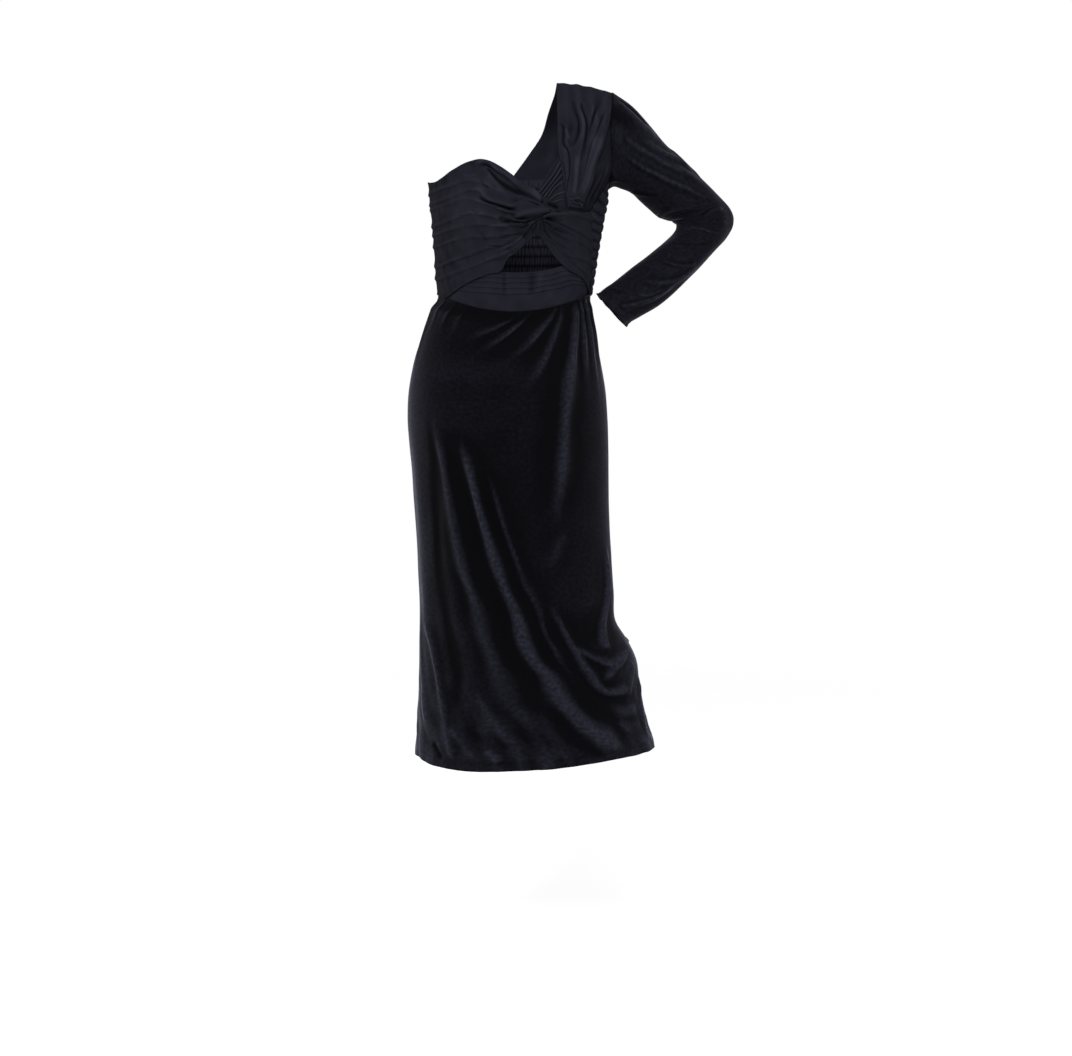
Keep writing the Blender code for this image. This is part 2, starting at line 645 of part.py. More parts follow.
def add_waistband(dress):
    """Tucked band across the front, plain along its foot."""
    profile = tuck_rows(BAND_TUCKS, BAND_PLAIN)
    across, up = np.meshgrid(np.linspace(0, 1, 26), profile[:, 0])
    end = smooth(BAND_TOP, "angle", across)
    foot_angle = mix(RIGHT_SEAM, SEAM_FOOT[0] - 2 * SEAM_ANGLE, across)
    angle = mix(foot_angle, end, up)
    height = mix(waist_height(foot_angle) + SEAM, smooth(BAND_TOP, "height", across), up)
    raised = profile[:, 1][:, None] * BAND_RISE
    inner = torso(angle, height, 0.0)
    outer = torso(angle, height, BASE_OUT + raised)
    raised_cloth("front_waistband", inner, outer, SATIN, dress)


def corner_patch(sides, across, up):
    """Values inside four edges: along the bottom, along the top, up the start and up the end."""
    bottom, top, start, end = sides
    low, high = mix(bottom[0, 0], bottom[0, -1], across), mix(top[0, 0], top[0, -1], across)
    return mix(bottom, top, up) + mix(start, end, across) - mix(low, high, up)


def add_cup(dress):
    """Cup under the strap, from the neckline to the armhole and to the smocked panel."""
    across, up = np.meshgrid(np.linspace(0, 1, 14), np.linspace(0, 1, 12))
    places = []
    for column in ("angle", "height"):
        low, high = smooth(CUP_BOTTOM, column, across), smooth(CUP_TOP, column, across)
        near = mix(low[0, 0], high[0, 0], up)
        far = smooth(CUP_SIDE, column, up)
        if column == "angle":
            side_height = smooth(CUP_SIDE, "height", up)
            sewn = seam_angle(side_height) - SEAM_ANGLE
            far = np.where(side_height < SMOCK_TOP_FRONT, sewn, far)
        places.append(corner_patch((low, high, near, far), across, up))
    cloth("left_front_cup", torso(*places, BASE_OUT), SATIN, dress)


def strap_points(at, across):
    """Outer face of the strap at row places along its sections and column shares across it."""
    out = DRAPE_IN + WALL
    lines = []
    for row in STRAP:
        if isinstance(row, CrossRow):
            angle = mix(row.neck_angle, row.arm_angle, across)
            lines.append(torso(angle, mix(row.neck_height, row.arm_height, across), out))
        elif isinstance(row, FootRow):
            angle = mix(row.neck_angle, row.arm_angle, across)
            height = smooth(SMOCK_TOP, "height", angle) + 2 * SEAM
            lines.append(torso(angle, height, SMOCK_IN + WALL))
        else:
            line = mix(np.array(row.neck), np.array(row.arm), across[:, None])
            line[:, 2] += row.crown * np.sin(math.pi * across)
            lines.append(line)
    lines = np.array(lines)
    low = np.clip(at.astype(int), 0, len(lines) - 2)
    slopes = np.gradient(lines, axis=0)
    part = (at - low)[:, None, None]
    return (
        mix(lines[low], lines[low + 1], part * part * (3 - 2 * part))
        + part * (1 - part) ** 2 * slopes[low]
        + part * part * (part - 1) * slopes[low + 1]
    )


def strap_grid(first, last, rows, columns):
    """Outer face of a stretch of the strap, with the direction outward at each point."""
    at, across = np.linspace(first, last, rows), np.linspace(0, 1, columns)
    step = 0.01
    right = strap_points(at, across + step) - strap_points(at, across - step)
    onward = strap_points(at + step, across) - strap_points(at - step, across)
    outward = np.cross(right, onward)
    outward /= np.linalg.norm(outward, axis=-1, keepdims=True)
    return strap_points(at, across), outward


def add_front_strap(dress):
    """Draped strap from the knot to the shoulder seam, gathered into lengthwise folds."""
    rows, columns = 22, 16
    last = STRAP_TOP - STRAP_SEAM
    face, outward = strap_grid(0, last, rows, columns)
    across, along = np.meshgrid(np.linspace(0, 1, columns), np.linspace(0, last, rows))
    relief = fold_relief(STRAP_FOLDS, across, along, *STRAP_FLAT)
    outer = face + relief[..., None] * outward
    raised_cloth("shoulder_drape", face - WALL * outward, outer, SATIN, dress)


def add_back_strap(dress):
    """Plain back panel from the shoulder seam to the smocking."""
    face, outward = strap_grid(STRAP_TOP + STRAP_SEAM, len(STRAP) - 1, 12, 7)
    raised_cloth("back_shoulder_panel", face - WALL * outward, face, SATIN, dress)


def add_smocked_panel(dress):
    """Shirred panel round the back, in puffs between level rows of elastic."""
    rows = 2 * SMOCK_ROWS + 1
    across, up = np.meshgrid(np.linspace(0, 1, 18), np.linspace(0, 1, rows))
    level = mix(SEAM_FOOT[1], SMOCK_TOP_FRONT, up)
    start, last = seam_angle(level) + 2 * SEAM_ANGLE, BACK_RIGHT_SEAM - SEAM_ANGLE
    top_angle = mix(SMOCK_TOP[0].angle, last, across)
    angle = top_angle + (start - SMOCK_TOP[0].angle) * (1 - across) ** 3
    height = mix(waist_height(angle) + SEAM, smooth(SMOCK_TOP, "height", top_angle), up)
    puff = SMOCK_PUFF * (np.arange(rows) % 2)[:, None]
    inner = torso(angle, height, SMOCK_IN)
    outer = torso(angle, height, SMOCK_IN + WALL + puff)
    raised_cloth("smocked_back_panel", inner, outer, SATIN, dress)


def armhole_line():
    """Edges that the sleeve is sewn to: up the cup, over the shoulder, and back under the arm."""
    side = np.linspace(ARMHOLE_FROM, ARMHOLE_TO, 12)
    cup = torso(smooth(CUP_SIDE, "angle", side), smooth(CUP_SIDE, "height", side), BASE_OUT)
    strap = strap_points(np.linspace(ARMHOLE_STRAP, len(STRAP) - 1, 40), np.array([1.0]))[:, 0]
    under = np.linspace(STRAP[-1].arm_angle, SMOCK_TOP[0].angle, 16)[1:-1]
    smock = torso(under, smooth(SMOCK_TOP, "height", under), SMOCK_IN + WALL)
    return np.concatenate([cup, strap, smock])


def armhole(turn):
    """Points of the armhole at turns round the sleeve: 0 on the shoulder, 90 in front."""
    line = armhole_line()
    first = SLEEVE[0]
    up = (line[:, 2] - (first.outer_z + first.inner_z) / 2) / (first.outer_z - first.inner_z) * 2
    forward = (first.middle_y - line[:, 1]) / first.half_depth
    place = np.arctan2(forward, up) % (2 * math.pi)
    order = place.argsort()
    columns = [np.interp(turn, place[order], line[order, axis], period=2 * math.pi) for axis in range(3)]
    return np.stack(columns, axis=-1) + (ARMHOLE_GAP, 0, 0)


def add_sleeve(dress):
    """Long sleeve bent at the elbow, with the hand at the hip."""
    rows, columns = 34, 18
    place = np.linspace(0, len(SLEEVE) - 1, rows)[:, None]
    turn = (np.arange(columns) * 2 * math.pi / columns)[None, :]
    relief = fold_relief(
        SLEEVE_FOLDS,
        np.degrees(turn) + 0 * place,
        place + 0 * turn,
        math.radians(1) * SLEEVE_FLAT[0],
        SLEEVE_FLAT[1],
    )
    outer_x, outer_z = smooth(SLEEVE, "outer_x", place), smooth(SLEEVE, "outer_z", place)
    inner_x, inner_z = smooth(SLEEVE, "inner_x", place), smooth(SLEEVE, "inner_z", place)
    reach = np.hypot(outer_x - inner_x, outer_z - inner_z) / 2
    grown = (reach + relief) / reach
    x = (outer_x + inner_x) / 2 + (outer_x - inner_x) / 2 * np.cos(turn) * grown
    z = (outer_z + inner_z) / 2 + (outer_z - inner_z) / 2 * np.cos(turn) * grown
    depth = smooth(SLEEVE, "half_depth", place) + relief
    y = smooth(SLEEVE, "middle_y", place) - depth * np.sin(turn)
    grid = np.stack([x, y, z], axis=-1)
    sewn = 1 - soft_step(place, 0, ARMHOLE_REACH)
    grid = grid + (armhole(turn[0]) - grid[0]) * sewn[..., None]
    cloth("left_sleeve", grid[::-1], VELVET, dress, wrap=True)


def knot_rise(angle, height):
    """The knot's thickness: the highest of the folds that cross there."""
    heights = fold_heights(KNOT_FOLDS, angle, height, KNOT_FLAT * math.radians(1))
    return KNOT_EDGE + (heights**KNOT_BLEND).sum(axis=0) ** (1 / KNOT_BLEND)


def add_knot(dress):
    """Twisted knot between the cups, where the folds of both drapes cross."""
    side = np.linspace(-1, 1, KNOT_POINTS)
    right, up = np.meshgrid(side, side)
    across, along = right * np.sqrt(1 - up**2 / 2), up * np.sqrt(1 - right**2 / 2)
    reach = knot_reach(across, along)
    angle = KNOT_ANGLE + np.degrees(across * reach / KNOT_FLAT)
    height = KNOT_HEIGHT + along * reach
    inner = torso(angle, height, KNOT_IN)
    outer = torso(angle, height, KNOT_IN + knot_rise(angle, height))
    raised_cloth("twist_knot", inner, outer, SATIN, dress)


def clear_scene():
    for item in list(bpy.data.objects):
        bpy.data.objects.remove(item, do_unlink=True)


def main():
    clear_scene()
    name = "one_shoulder_dress"
    bpy.context.scene.collection.children.link(bpy.data.collections.new(name))
    dress = bpy.data.objects.new(name, None)
    dress.location = [-place for place in SHOULDER]
    bpy.data.collections[name].objects.link(dress)
    add_skirt("skirt_front", -SKIRT_SEAM, SKIRT_SEAM, 36, 29, dress)
    add_skirt("skirt_back", SKIRT_SEAM, 360 - SKIRT_SEAM, 24, 17, dress)
    add_waistband(dress)
    add_drape("right_front_drape", RIGHT_DRAPE_BOTTOM, RIGHT_DRAPE_TOP, RIGHT_TUCKS, 22, dress)
    add_drape("left_front_drape", LEFT_DRAPE_BOTTOM, LEFT_DRAPE_TOP, LEFT_TUCKS, 14, dress)
    add_cup(dress)
    add_knot(dress)
    add_front_strap(dress)
    add_back_strap(dress)
    add_smocked_panel(dress)
    add_sleeve(dress)


main()
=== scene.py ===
"""One-shoulder midi dress in satin and velvet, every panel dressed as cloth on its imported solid.

Places are worked out in the wearer's frame, in metres: X to the wearer's left, -Y in front, Z up from
the floor. Shell brings them to the row frame. On the torso and the skirt a place is an angle round the
figure (0 in front, 90 on the wearer's left) and a height above the floor.
"""

import logging
import math
from dataclasses import dataclass, replace
from enum import Enum

import bpy
import numpy as np
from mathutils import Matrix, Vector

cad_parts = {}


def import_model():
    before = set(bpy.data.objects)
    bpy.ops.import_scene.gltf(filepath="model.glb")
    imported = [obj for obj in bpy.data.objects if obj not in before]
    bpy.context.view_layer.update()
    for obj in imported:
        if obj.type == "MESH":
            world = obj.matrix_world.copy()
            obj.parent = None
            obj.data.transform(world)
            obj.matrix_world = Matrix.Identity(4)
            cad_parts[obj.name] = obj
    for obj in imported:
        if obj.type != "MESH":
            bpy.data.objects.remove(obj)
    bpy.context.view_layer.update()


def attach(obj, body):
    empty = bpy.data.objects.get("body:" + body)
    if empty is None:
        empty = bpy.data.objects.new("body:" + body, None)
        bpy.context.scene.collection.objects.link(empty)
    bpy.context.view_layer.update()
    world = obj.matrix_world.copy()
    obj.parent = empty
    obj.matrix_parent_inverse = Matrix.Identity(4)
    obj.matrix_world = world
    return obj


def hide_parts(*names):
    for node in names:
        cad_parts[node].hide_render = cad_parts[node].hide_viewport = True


LOG = logging.getLogger("dress")
WHITE = (1, 1, 1, 1)
Array = np.ndarray
Line = tuple[tuple[float, float], ...]
SHOULDER = (0.1110, 0.0050, 1.5370)  # underside of the strap, the origin of the row frame
WALL = 0.0015  # thickness of the cloth
SEAM = 0.0004  # gap between two pieces at a seam
SEAM_ANGLE = 0.17  # the same gap, as degrees round the torso
BASE_OUT = 0.0015  # outer face of the pieces that lie on the figure
DRAPE_IN = 0.0033  # inner face of the draped pieces, over the band and the cup
SMOCK_IN = 0.0012  # inner face of the smocked panel
FLAT_ANGLE = math.radians(1) * 0.135  # length along the cloth of a degree round the figure
FLAT = (FLAT_ANGLE, 1.0)  # lengths along the cloth of a degree round the figure and a metre up it
SMOCK_START = 75.5  # angle of the smocked panel's top corner in front
SMOCK_TOP_FRONT = 1.385  # and its height
TUCK_KEPT = 0.72  # share of their full rise that the lapped tucks keep
SEAM_FOOT = (84.0, 1.2025)  # where the smocking meets the left drape, at the waist
SEAM_KNEE = (58.0, 1.3350)  # where it meets the drape's top edge and turns to the armhole


class Held(Enum):
    """How a panel hangs once it is sewn in."""

    HUNG = "hung"
    DRAPED = "draped"
    GATHERED = "gathered"
    STRETCHED = "stretched"


# Curves and reliefs


def soft_step(value: Array, low: float | Array, high: float | Array) -> Array:
    """Rise softly from 0 at low to 1 at high.

    Args:
        value: Where the rise is read.
        low: Where it starts.
        high: Where it is full.

    Returns:
        Array: Shares from 0 to 1.
    """
    part = np.clip((value - low) / (high - low), 0, 1)
    return part * part * (3 - 2 * part)


def mix(first: float | Array, second: float | Array, share: float | Array) -> Array:
    """Blend two values or arrays.

    Args:
        first: Value at share 0.
        second: Value at share 1.
        share: How far to go from the first to the second.

    Returns:
        Array: The blended values.
    """
    return first + (second - first) * share


def bell(value: Array, centre: float, spread: float) -> Array:
    """Hump of 1 at a centre that dies out over its spread to both sides."""
    return np.exp(-(((value - centre) / spread) ** 2))


def numbers(text: str) -> tuple[tuple[float, ...], ...]:
    """Rows of numbers from text, with a semicolon between two rows."""
    return tuple(tuple(map(float, row.split())) for row in text.split(";"))


@dataclass(frozen=True)
class Table:
    """Rows of sizes, each row led by its place, read on a smooth curve between them."""

    columns: str
    text: str

    @property
    def rows(self) -> Array:
        """The rows as numbers."""
        return np.array(numbers(self.text))

    def at(self, column: str, place: Array) -> Array:
        """Read one column.

        Args:
            column: The column's name.
            place: Where to read it, held to the table's ends.

        Returns:
            Array: The column's values at those places.
        """
        places, *columns = self.rows.T
        values = columns[self.columns.split().index(column)]
        slopes = np.gradient(values, places)
        place = np.clip(place, places[0], places[-1])
        low = np.clip(np.searchsorted(places, place, side="right") - 1, 0, len(places) - 2)
        step = places[low + 1] - places[low]
        part = (place - places[low]) / step
        leave = part * (1 - part) ** 2 * step * slopes[low]
        reach = part * part * (part - 1) * step * slopes[low + 1]
        return mix(values[low], values[low + 1], part * part * (3 - 2 * part)) + leave + reach


def points_sum(line: Line) -> float:
    """A number of its own for each line, to start its unevenness from."""
    return sum(first + second for first, second in line)


@dataclass(frozen=True)
class Crease:
    """Ridge on the cloth along a bent line, or a trough where its rise is negative.

    A lean narrows the side on the line's right hand, as below the folded edge of a lapped tuck.
    """

    line: Line
    width: float
    rise: float
    lean: float = 0.0
    fade: float = 0.22  # share of the line over which each end dies out
    tail: float = 0.0  # the same for its far end, where that dies out more slowly
    swell: float = 1.0  # how many times wider its far end is
    sharp: float = 0.0  # 0 for a round crest, towards 1 for a keen one, below 0 for a flat one

    def bent(self, scale: Array) -> Array:
        """Bend the line smoothly through its points.

        Args:
            scale: Lengths along the cloth of one unit across and one unit along.

        Returns:
            Array: Points close together along the curve.
        """
        points = np.array(self.line) * scale
        ends = 2 * points[0] - points[1], 2 * points[-1] - points[-2]
        padded = np.concatenate([ends[:1], points, ends[1:]])
        part = np.linspace(0, 1, 6)[:-1, None]
        spans = [
            b + (c - a) / 2 * part + (2 * a - 5 * b + 4 * c - d) / 2 * part**2 + (3 * b - a - 3 * c + d) / 2 * part**3
            for a, b, c, d in zip(padded, padded[1:], padded[2:], padded[3:])
        ]
        return np.concatenate([*spans, points[-1:]])

    def height(self, across: Array, along: Array, flat: tuple[float, float]) -> Array:
        """Height of the ridge over the cloth.

        Args:
            across: First coordinate of each place.
            along: Second coordinate of each place.
            flat: Lengths along the cloth of one unit of each.

        Returns:
            Array: Heights in metres.
        """
        scale = np.array(flat)
        places = np.stack([across, along], axis=-1).reshape(-1, 2) * scale
        curve = self.bent(scale)
        span = np.diff(curve, axis=0)
        margin = 3.2 * self.width * max(self.swell, 1)
        close = ((places > curve.min(0) - margin) & (places < curve.max(0) + margin)).all(axis=1)
        gap = places[close][:, None] - curve[:-1]
        share = np.clip((gap * span).sum(-1) / (span**2).sum(-1), 0, 1)
        away = gap - share[..., None] * span
        distance = np.hypot(away[..., 0], away[..., 1])
        rows = np.arange(len(distance))
        best = distance.argmin(axis=1) if len(rows) else rows
        length = (best + share[rows, best]) / len(span)
        side = span[best, 0] * gap[rows, best, 1] - span[best, 1] * gap[rows, best, 0]
        phase = length * np.hypot(*span.T).sum() / 0.019 + 61 * points_sum(self.line)
        width = self.width * mix(1, self.swell, length) * (1 + 0.15 * np.sin(phase))
        width = width * np.where(side < 0, 1 - max(self.lean, 0), 1 + min(self.lean, 0))
        power = (distance[rows, best] / width) ** (2 - self.sharp)
        taper = soft_step(length, 0, self.fade) * (1 - soft_step(length, 1 - max(self.fade, self.tail), 1))
        heights = np.zeros(len(places))
        uneven = 1 + 0.16 * np.sin(0.61 * phase + 1.7)
        heights[close] = self.rise * uneven * taper * np.exp(-power) * (1 - 0.6 * power)
        return heights.reshape(across.shape)

    def turned(self, shift: float, share: float) -> "Crease":
        """Copy it to the other side of a tube.

        Args:
            shift: How far along the tube the copy lies from it.
            share: The copy's rise, as a share of its own.

        Returns:
            Crease: The crease on the far side.
        """
        line = tuple((360 - turn, ring + shift) for turn, ring in reversed(self.line))
        return replace(self, line=line, rise=self.rise * share)


def creases(text: str) -> tuple[Crease, ...]:
    """Read creases from rows of text.

    Args:
        text: For each crease its sizes in the order of Crease's fields, a bar, and the points of its line.

    Returns:
        tuple[Crease, ...]: The creases.
    """
    found = []
    for row in text.split(";"):
        sizes, line = (tuple(map(float, part.split())) for part in row.split("|"))
        found.append(Crease(tuple(zip(line[::2], line[1::2])), *sizes))
    return tuple(found)


@dataclass(frozen=True)
class Ripple:
    """Faint unevenness of cloth in wear, the same in each run."""

    seed: int
    rise: float = 0.0005
    shortest: float = 0.022
    longest: float = 0.09
    waves: int = 16

    def height(self, across: Array, along: Array) -> Array:
        """Height of the ripples.

        Args:
            across: Lengths across the cloth.
            along: Lengths along the cloth.

        Returns:
            Array: Heights in metres.
        """
        chance = np.random.default_rng(self.seed)
        total = np.zeros(across.shape)
        for _ in range(self.waves):
            length, turn = chance.uniform(self.shortest, self.longest), chance.uniform(0, math.pi)
            way = across * math.cos(turn) + along * math.sin(turn)
            total += length / self.longest * np.sin(math.tau * way / length + chance.uniform(0, math.tau))
        return self.rise * total / math.sqrt(self.waves)


@dataclass(frozen=True)
class Relief:
    """All the creases and ripples of one stretch of cloth."""

    creases: tuple[Crease, ...]
    flat: tuple[float, float]
    ripple: Ripple

    def height(self, across: Array, along: Array) -> Array:
        """Height of the relief.

        Args:
            across: First coordinate of each place.
            along: Second coordinate of each place.

        Returns:
            Array: Heights in metres.
        """
        across, along = np.broadcast_arrays(across, along)
        total = self.ripple.height(across * self.flat[0], along * self.flat[1])
        for crease in self.creases:
            total = total + crease.height(across, along, self.flat)
        return total


# The figure that the dress is worn on, as a form for the cloth


@dataclass(frozen=True)
class Figure:
    """General figure: level sections of the torso, with a bust and the corners of the shoulders."""

    torso_table: Table = Table(
        "middle half_width front back",
        """
        1.15 -.006 .119 .086 .082; 1.2 -.0045 .12 .087 .084; 1.24 -.003 .1245 .09 .086; 1.28 -.001 .1285 .094 .09;
        1.32 .001 .1335 .098 .095; 1.36 .003 .139 .1 .1; 1.4 .004 .143 .096 .104; 1.44 .004 .146 .086 .104;
        1.48 .004 .149 .072 .096
        """,
    )
    bust_side: float = 0.066
    bust_height: float = 1.340
    bust_half: tuple[float, float] = (0.046, 0.052)
    bust_depth: float = 0.026
    shoulder_bulge: float = 0.016
    shoulder_angles: tuple[float, float] = (62.0, 118.0)
    shoulder_spread: float = 22.0
    shoulder_from: float = 1.350
    shoulder_full: float = 1.410
    waist_side: float = 1.2025
    waist_dip: float = 0.027

    def torso(self, angle: Array, height: Array, out: float | Array) -> Array:
        """Points on the torso, moved out by a distance.

        Args:
            angle: Degrees round the figure.
            height: Height above the floor.
            out: Distance outside the figure.

        Returns:
            Array: Points, with X, Y and Z last.
        """
        angle, height = np.broadcast_arrays(angle, height)
        sine, cosine = np.sin(np.radians(angle)), np.cos(np.radians(angle))
        full = soft_step(height, self.shoulder_from, self.shoulder_full) * self.shoulder_bulge
        for centre in self.shoulder_angles:
            out = out + full * bell(angle, centre, self.shoulder_spread)
        read = self.torso_table.at
        depth = np.where(cosine > 0, read("front", height), read("back", height))
        side = (read("half_width", height) + out) * sine
        bust = sum(bell(side, centre, self.bust_half[0]) for centre in (-self.bust_side, self.bust_side))
        bust = bust * bell(height, self.bust_height, self.bust_half[1]) * self.bust_depth
        depth = depth + np.where(cosine > 0, bust, 0.0)
        return np.stack([read("middle", height) + side, -(depth + out) * cosine, height + 0.0 * side], axis=-1)

    def waist(self, angle: Array) -> Array:
        """Height of the waist seam, which is level behind and dips to the front centre."""
        return self.waist_side - self.waist_dip * np.maximum(np.cos(np.radians(angle)), 0) ** 2

    def side_seam(self, height: Array) -> Array:
        """Angle of the smocked panel's front edge, up to the drape's top and on to the armhole.

        Args:
            height: Height above the floor.

        Returns:
            Array: Degrees round the figure.
        """
        low = mix(SEAM_FOOT[0], SEAM_KNEE[0], (height - SEAM_FOOT[1]) / (SEAM_KNEE[1] - SEAM_FOOT[1]))
        share = (height - SEAM_KNEE[1]) / (SMOCK_TOP_FRONT - SEAM_KNEE[1])
        return np.where(height < SEAM_KNEE[1], low, mix(SEAM_KNEE[0], SMOCK_START, share))


SMOCK_TOP = Table("height", "75.5 1.385; 90 1.374; 104 1.38; 118 1.392; 170 1.396; 228 1.393; 265 1.385")


# Finishes


class Graph:
    """Adds nodes to one node tree and joins them."""

    def __init__(self, tree: bpy.types.NodeTree) -> None:
        """Keep the tree."""
        self.tree = tree

    def fill(self, node: bpy.types.Node, inputs: dict) -> None:
        """Set inputs of a node.

        Args:
            node: The node.
            inputs: Values or sockets by input name or number.
        """
        for name, value in inputs.items():
            if isinstance(value, bpy.types.NodeSocket):
                self.tree.links.new(value, node.inputs[name])
            else:
                node.inputs[name].default_value = value

    def add(self, kind: str, inputs: dict | None = None, **settings: object) -> bpy.types.Node:
        """Add a node.

        Args:
            kind: The node's type.
            inputs: Values or sockets by input name or number.
            settings: The node's own options.

        Returns:
            bpy.types.Node: The new node.
        """
        node = self.tree.nodes.new(kind)
        for name, value in settings.items():
            setattr(node, name, value)
        self.fill(node, inputs or {})
        return node

    def sum(self, operation: str, *values: object) -> bpy.types.NodeSocket:
        """Add a Math node over numbers or sockets, and give its result."""
        return self.add("ShaderNodeMath", dict(enumerate(values)), operation=operation).outputs[0]

    def noise(
        self, place: bpy.types.NodeSocket, scale: object, detail: float, rough: float = 0.5
    ) -> bpy.types.NodeSocket:
        """Add a Noise node with that many lumps to a metre, and give its value."""
        given = {"Vector": place, "Scale": scale, "Detail": detail, "Roughness": rough}
        return self.add("ShaderNodeTexNoise", given).outputs[0]

    def use(self, group: str, inputs: dict) -> bpy.types.NodeOutputs:
        """Place a group in this tree, and give what it puts out."""
        return self.add("ShaderNodeGroup", inputs, node_tree=bpy.data.node_groups[group]).outputs

    @classmethod
    def group(cls, name: str, inputs: dict[str, float | None], outputs: tuple[str, ...]) -> "Graph":
        """Start a reusable group of nodes.

        Args:
            name: The group's name.
            inputs: Default of each number, or None where the input is a place.
            outputs: Names of the values that it puts out.

        Returns:
            Graph: The group's own graph, with its start and its end.
        """
        tree = bpy.data.node_groups.new(name, "ShaderNodeTree")
        for label, value in inputs.items():
            kind = "NodeSocketVector" if value is None else "NodeSocketFloat"
            socket = tree.interface.new_socket(label, in_out="INPUT", socket_type=kind)
            if value is not None:
                socket.default_value = value
        for label in outputs:
            tree.interface.new_socket(label, in_out="OUTPUT", socket_type="NodeSocketFloat")
        graph = cls(tree)
        graph.start, graph.end = tree.nodes.new("NodeGroupInput").outputs, tree.nodes.new("NodeGroupOutput")
        return graph

    @classmethod
    def material(cls, name: str) -> tuple[bpy.types.Material, "Graph", bpy.types.Node]:
        """Start a material.

        Args:
            name: The material's name.

        Returns:
            tuple[bpy.types.Material, Graph, bpy.types.Node]: The material, its graph and its shader.
        """
        made = bpy.data.materials.new(name)
        made.use_nodes = True
        return made, cls(made.node_tree), made.node_tree.nodes["Principled BSDF"]

    def cloth(self) -> tuple[bpy.types.NodeSocket, bpy.types.NodeSocket]:
        """Read the place on the cloth's own map, and the painted light and shade baked onto the cloth there."""
        place = self.add("ShaderNodeUVMap", uv_map="cloth").outputs[0]
        return place, self.add("ShaderNodeAttribute", attribute_name="painted_light").outputs["Fac"]

    def tint(self, colour: tuple[float, float, float], light: bpy.types.NodeSocket) -> bpy.types.NodeSocket:
        """Brighten or darken a colour by a factor."""
        return self.add("ShaderNodeVectorMath", {0: colour, "Scale": light}, operation="SCALE").outputs[0]


class ClothPatterns:
    """The shader groups that the finishes share."""

    def build(self) -> None:
        """Make every group."""
        for make in (self.weave, self.pile, self.mottle, self.painted_light):
            make()

    def weave(self) -> None:
        """Make the fine weave: yarns over and under, on the cloth's own lengths."""
        graph = Graph.group("fine_weave", {"Place": None, "Yarn": 0.0004}, ("Height",))
        split = graph.add("ShaderNodeSeparateXYZ", {0: graph.start["Place"]}).outputs
        turn = graph.sum("DIVIDE", math.tau, graph.start["Yarn"])
        warp, weft = (graph.sum("SINE", graph.sum("MULTIPLY", split[axis], turn)) for axis in (0, 1))
        over = graph.sum("MULTIPLY", warp, weft)
        graph.fill(graph.end, {"Height": graph.sum("MULTIPLY_ADD", over, 0.5, 0.5)})

    def pile(self) -> None:
        """Make the velvet's pile: fine hairs, and patches whose nap lies another way."""
        graph = Graph.group("brushed_pile", {"Place": None, "Patch": 0.03}, ("Height", "Patches"))
        place, scale = graph.start["Place"], graph.sum("DIVIDE", 1.0, graph.start["Patch"])
        graph.fill(graph.end, {"Height": graph.noise(place, 1 / 0.0011, 3.0, 0.7)})
        graph.fill(graph.end, {"Patches": graph.noise(place, scale, 4.0, 0.6)})

    def mottle(self) -> None:
        """Make a soft unevenness of colour and gloss, from 0 to 1."""
        graph = Graph.group("soft_mottle", {"Place": None, "Size": 0.04, "Contrast": 2.0}, ("Mask",))
        lumps = graph.noise(graph.start["Place"], graph.sum("DIVIDE", 1.0, graph.start["Size"]), 5.0)
        centred = graph.sum("MULTIPLY_ADD", graph.sum("SUBTRACT", lumps, 0.5), graph.start["Contrast"], 0.5)
        graph.fill(graph.end, {"Mask": graph.add("ShaderNodeClamp", {0: centred}).outputs[0]})

    def painted_light(self) -> None:
        """Turn the baked painted light into a factor: painted shade below 1 in a trough, a painted highlight above 1
        on a crest.
        """
        graph = Graph.group("fold_light_and_shade", {"Painted light": 0.0, "Crest": 0.3, "Trough": 0.5}, ("Factor",))
        crest = graph.sum("POWER", graph.sum("MAXIMUM", graph.sum("SUBTRACT", graph.start["Painted light"], 0.06), 0.0), 1.2)
        trough = graph.sum("MAXIMUM", graph.sum("MINIMUM", graph.start["Painted light"], 0.0), -1.0)
        up = graph.sum("MULTIPLY", crest, graph.start["Crest"])
        down = graph.sum("MULTIPLY", trough, graph.start["Trough"])
        graph.fill(graph.end, {"Factor": graph.sum("ADD", graph.sum("ADD", up, down), 1.0)})


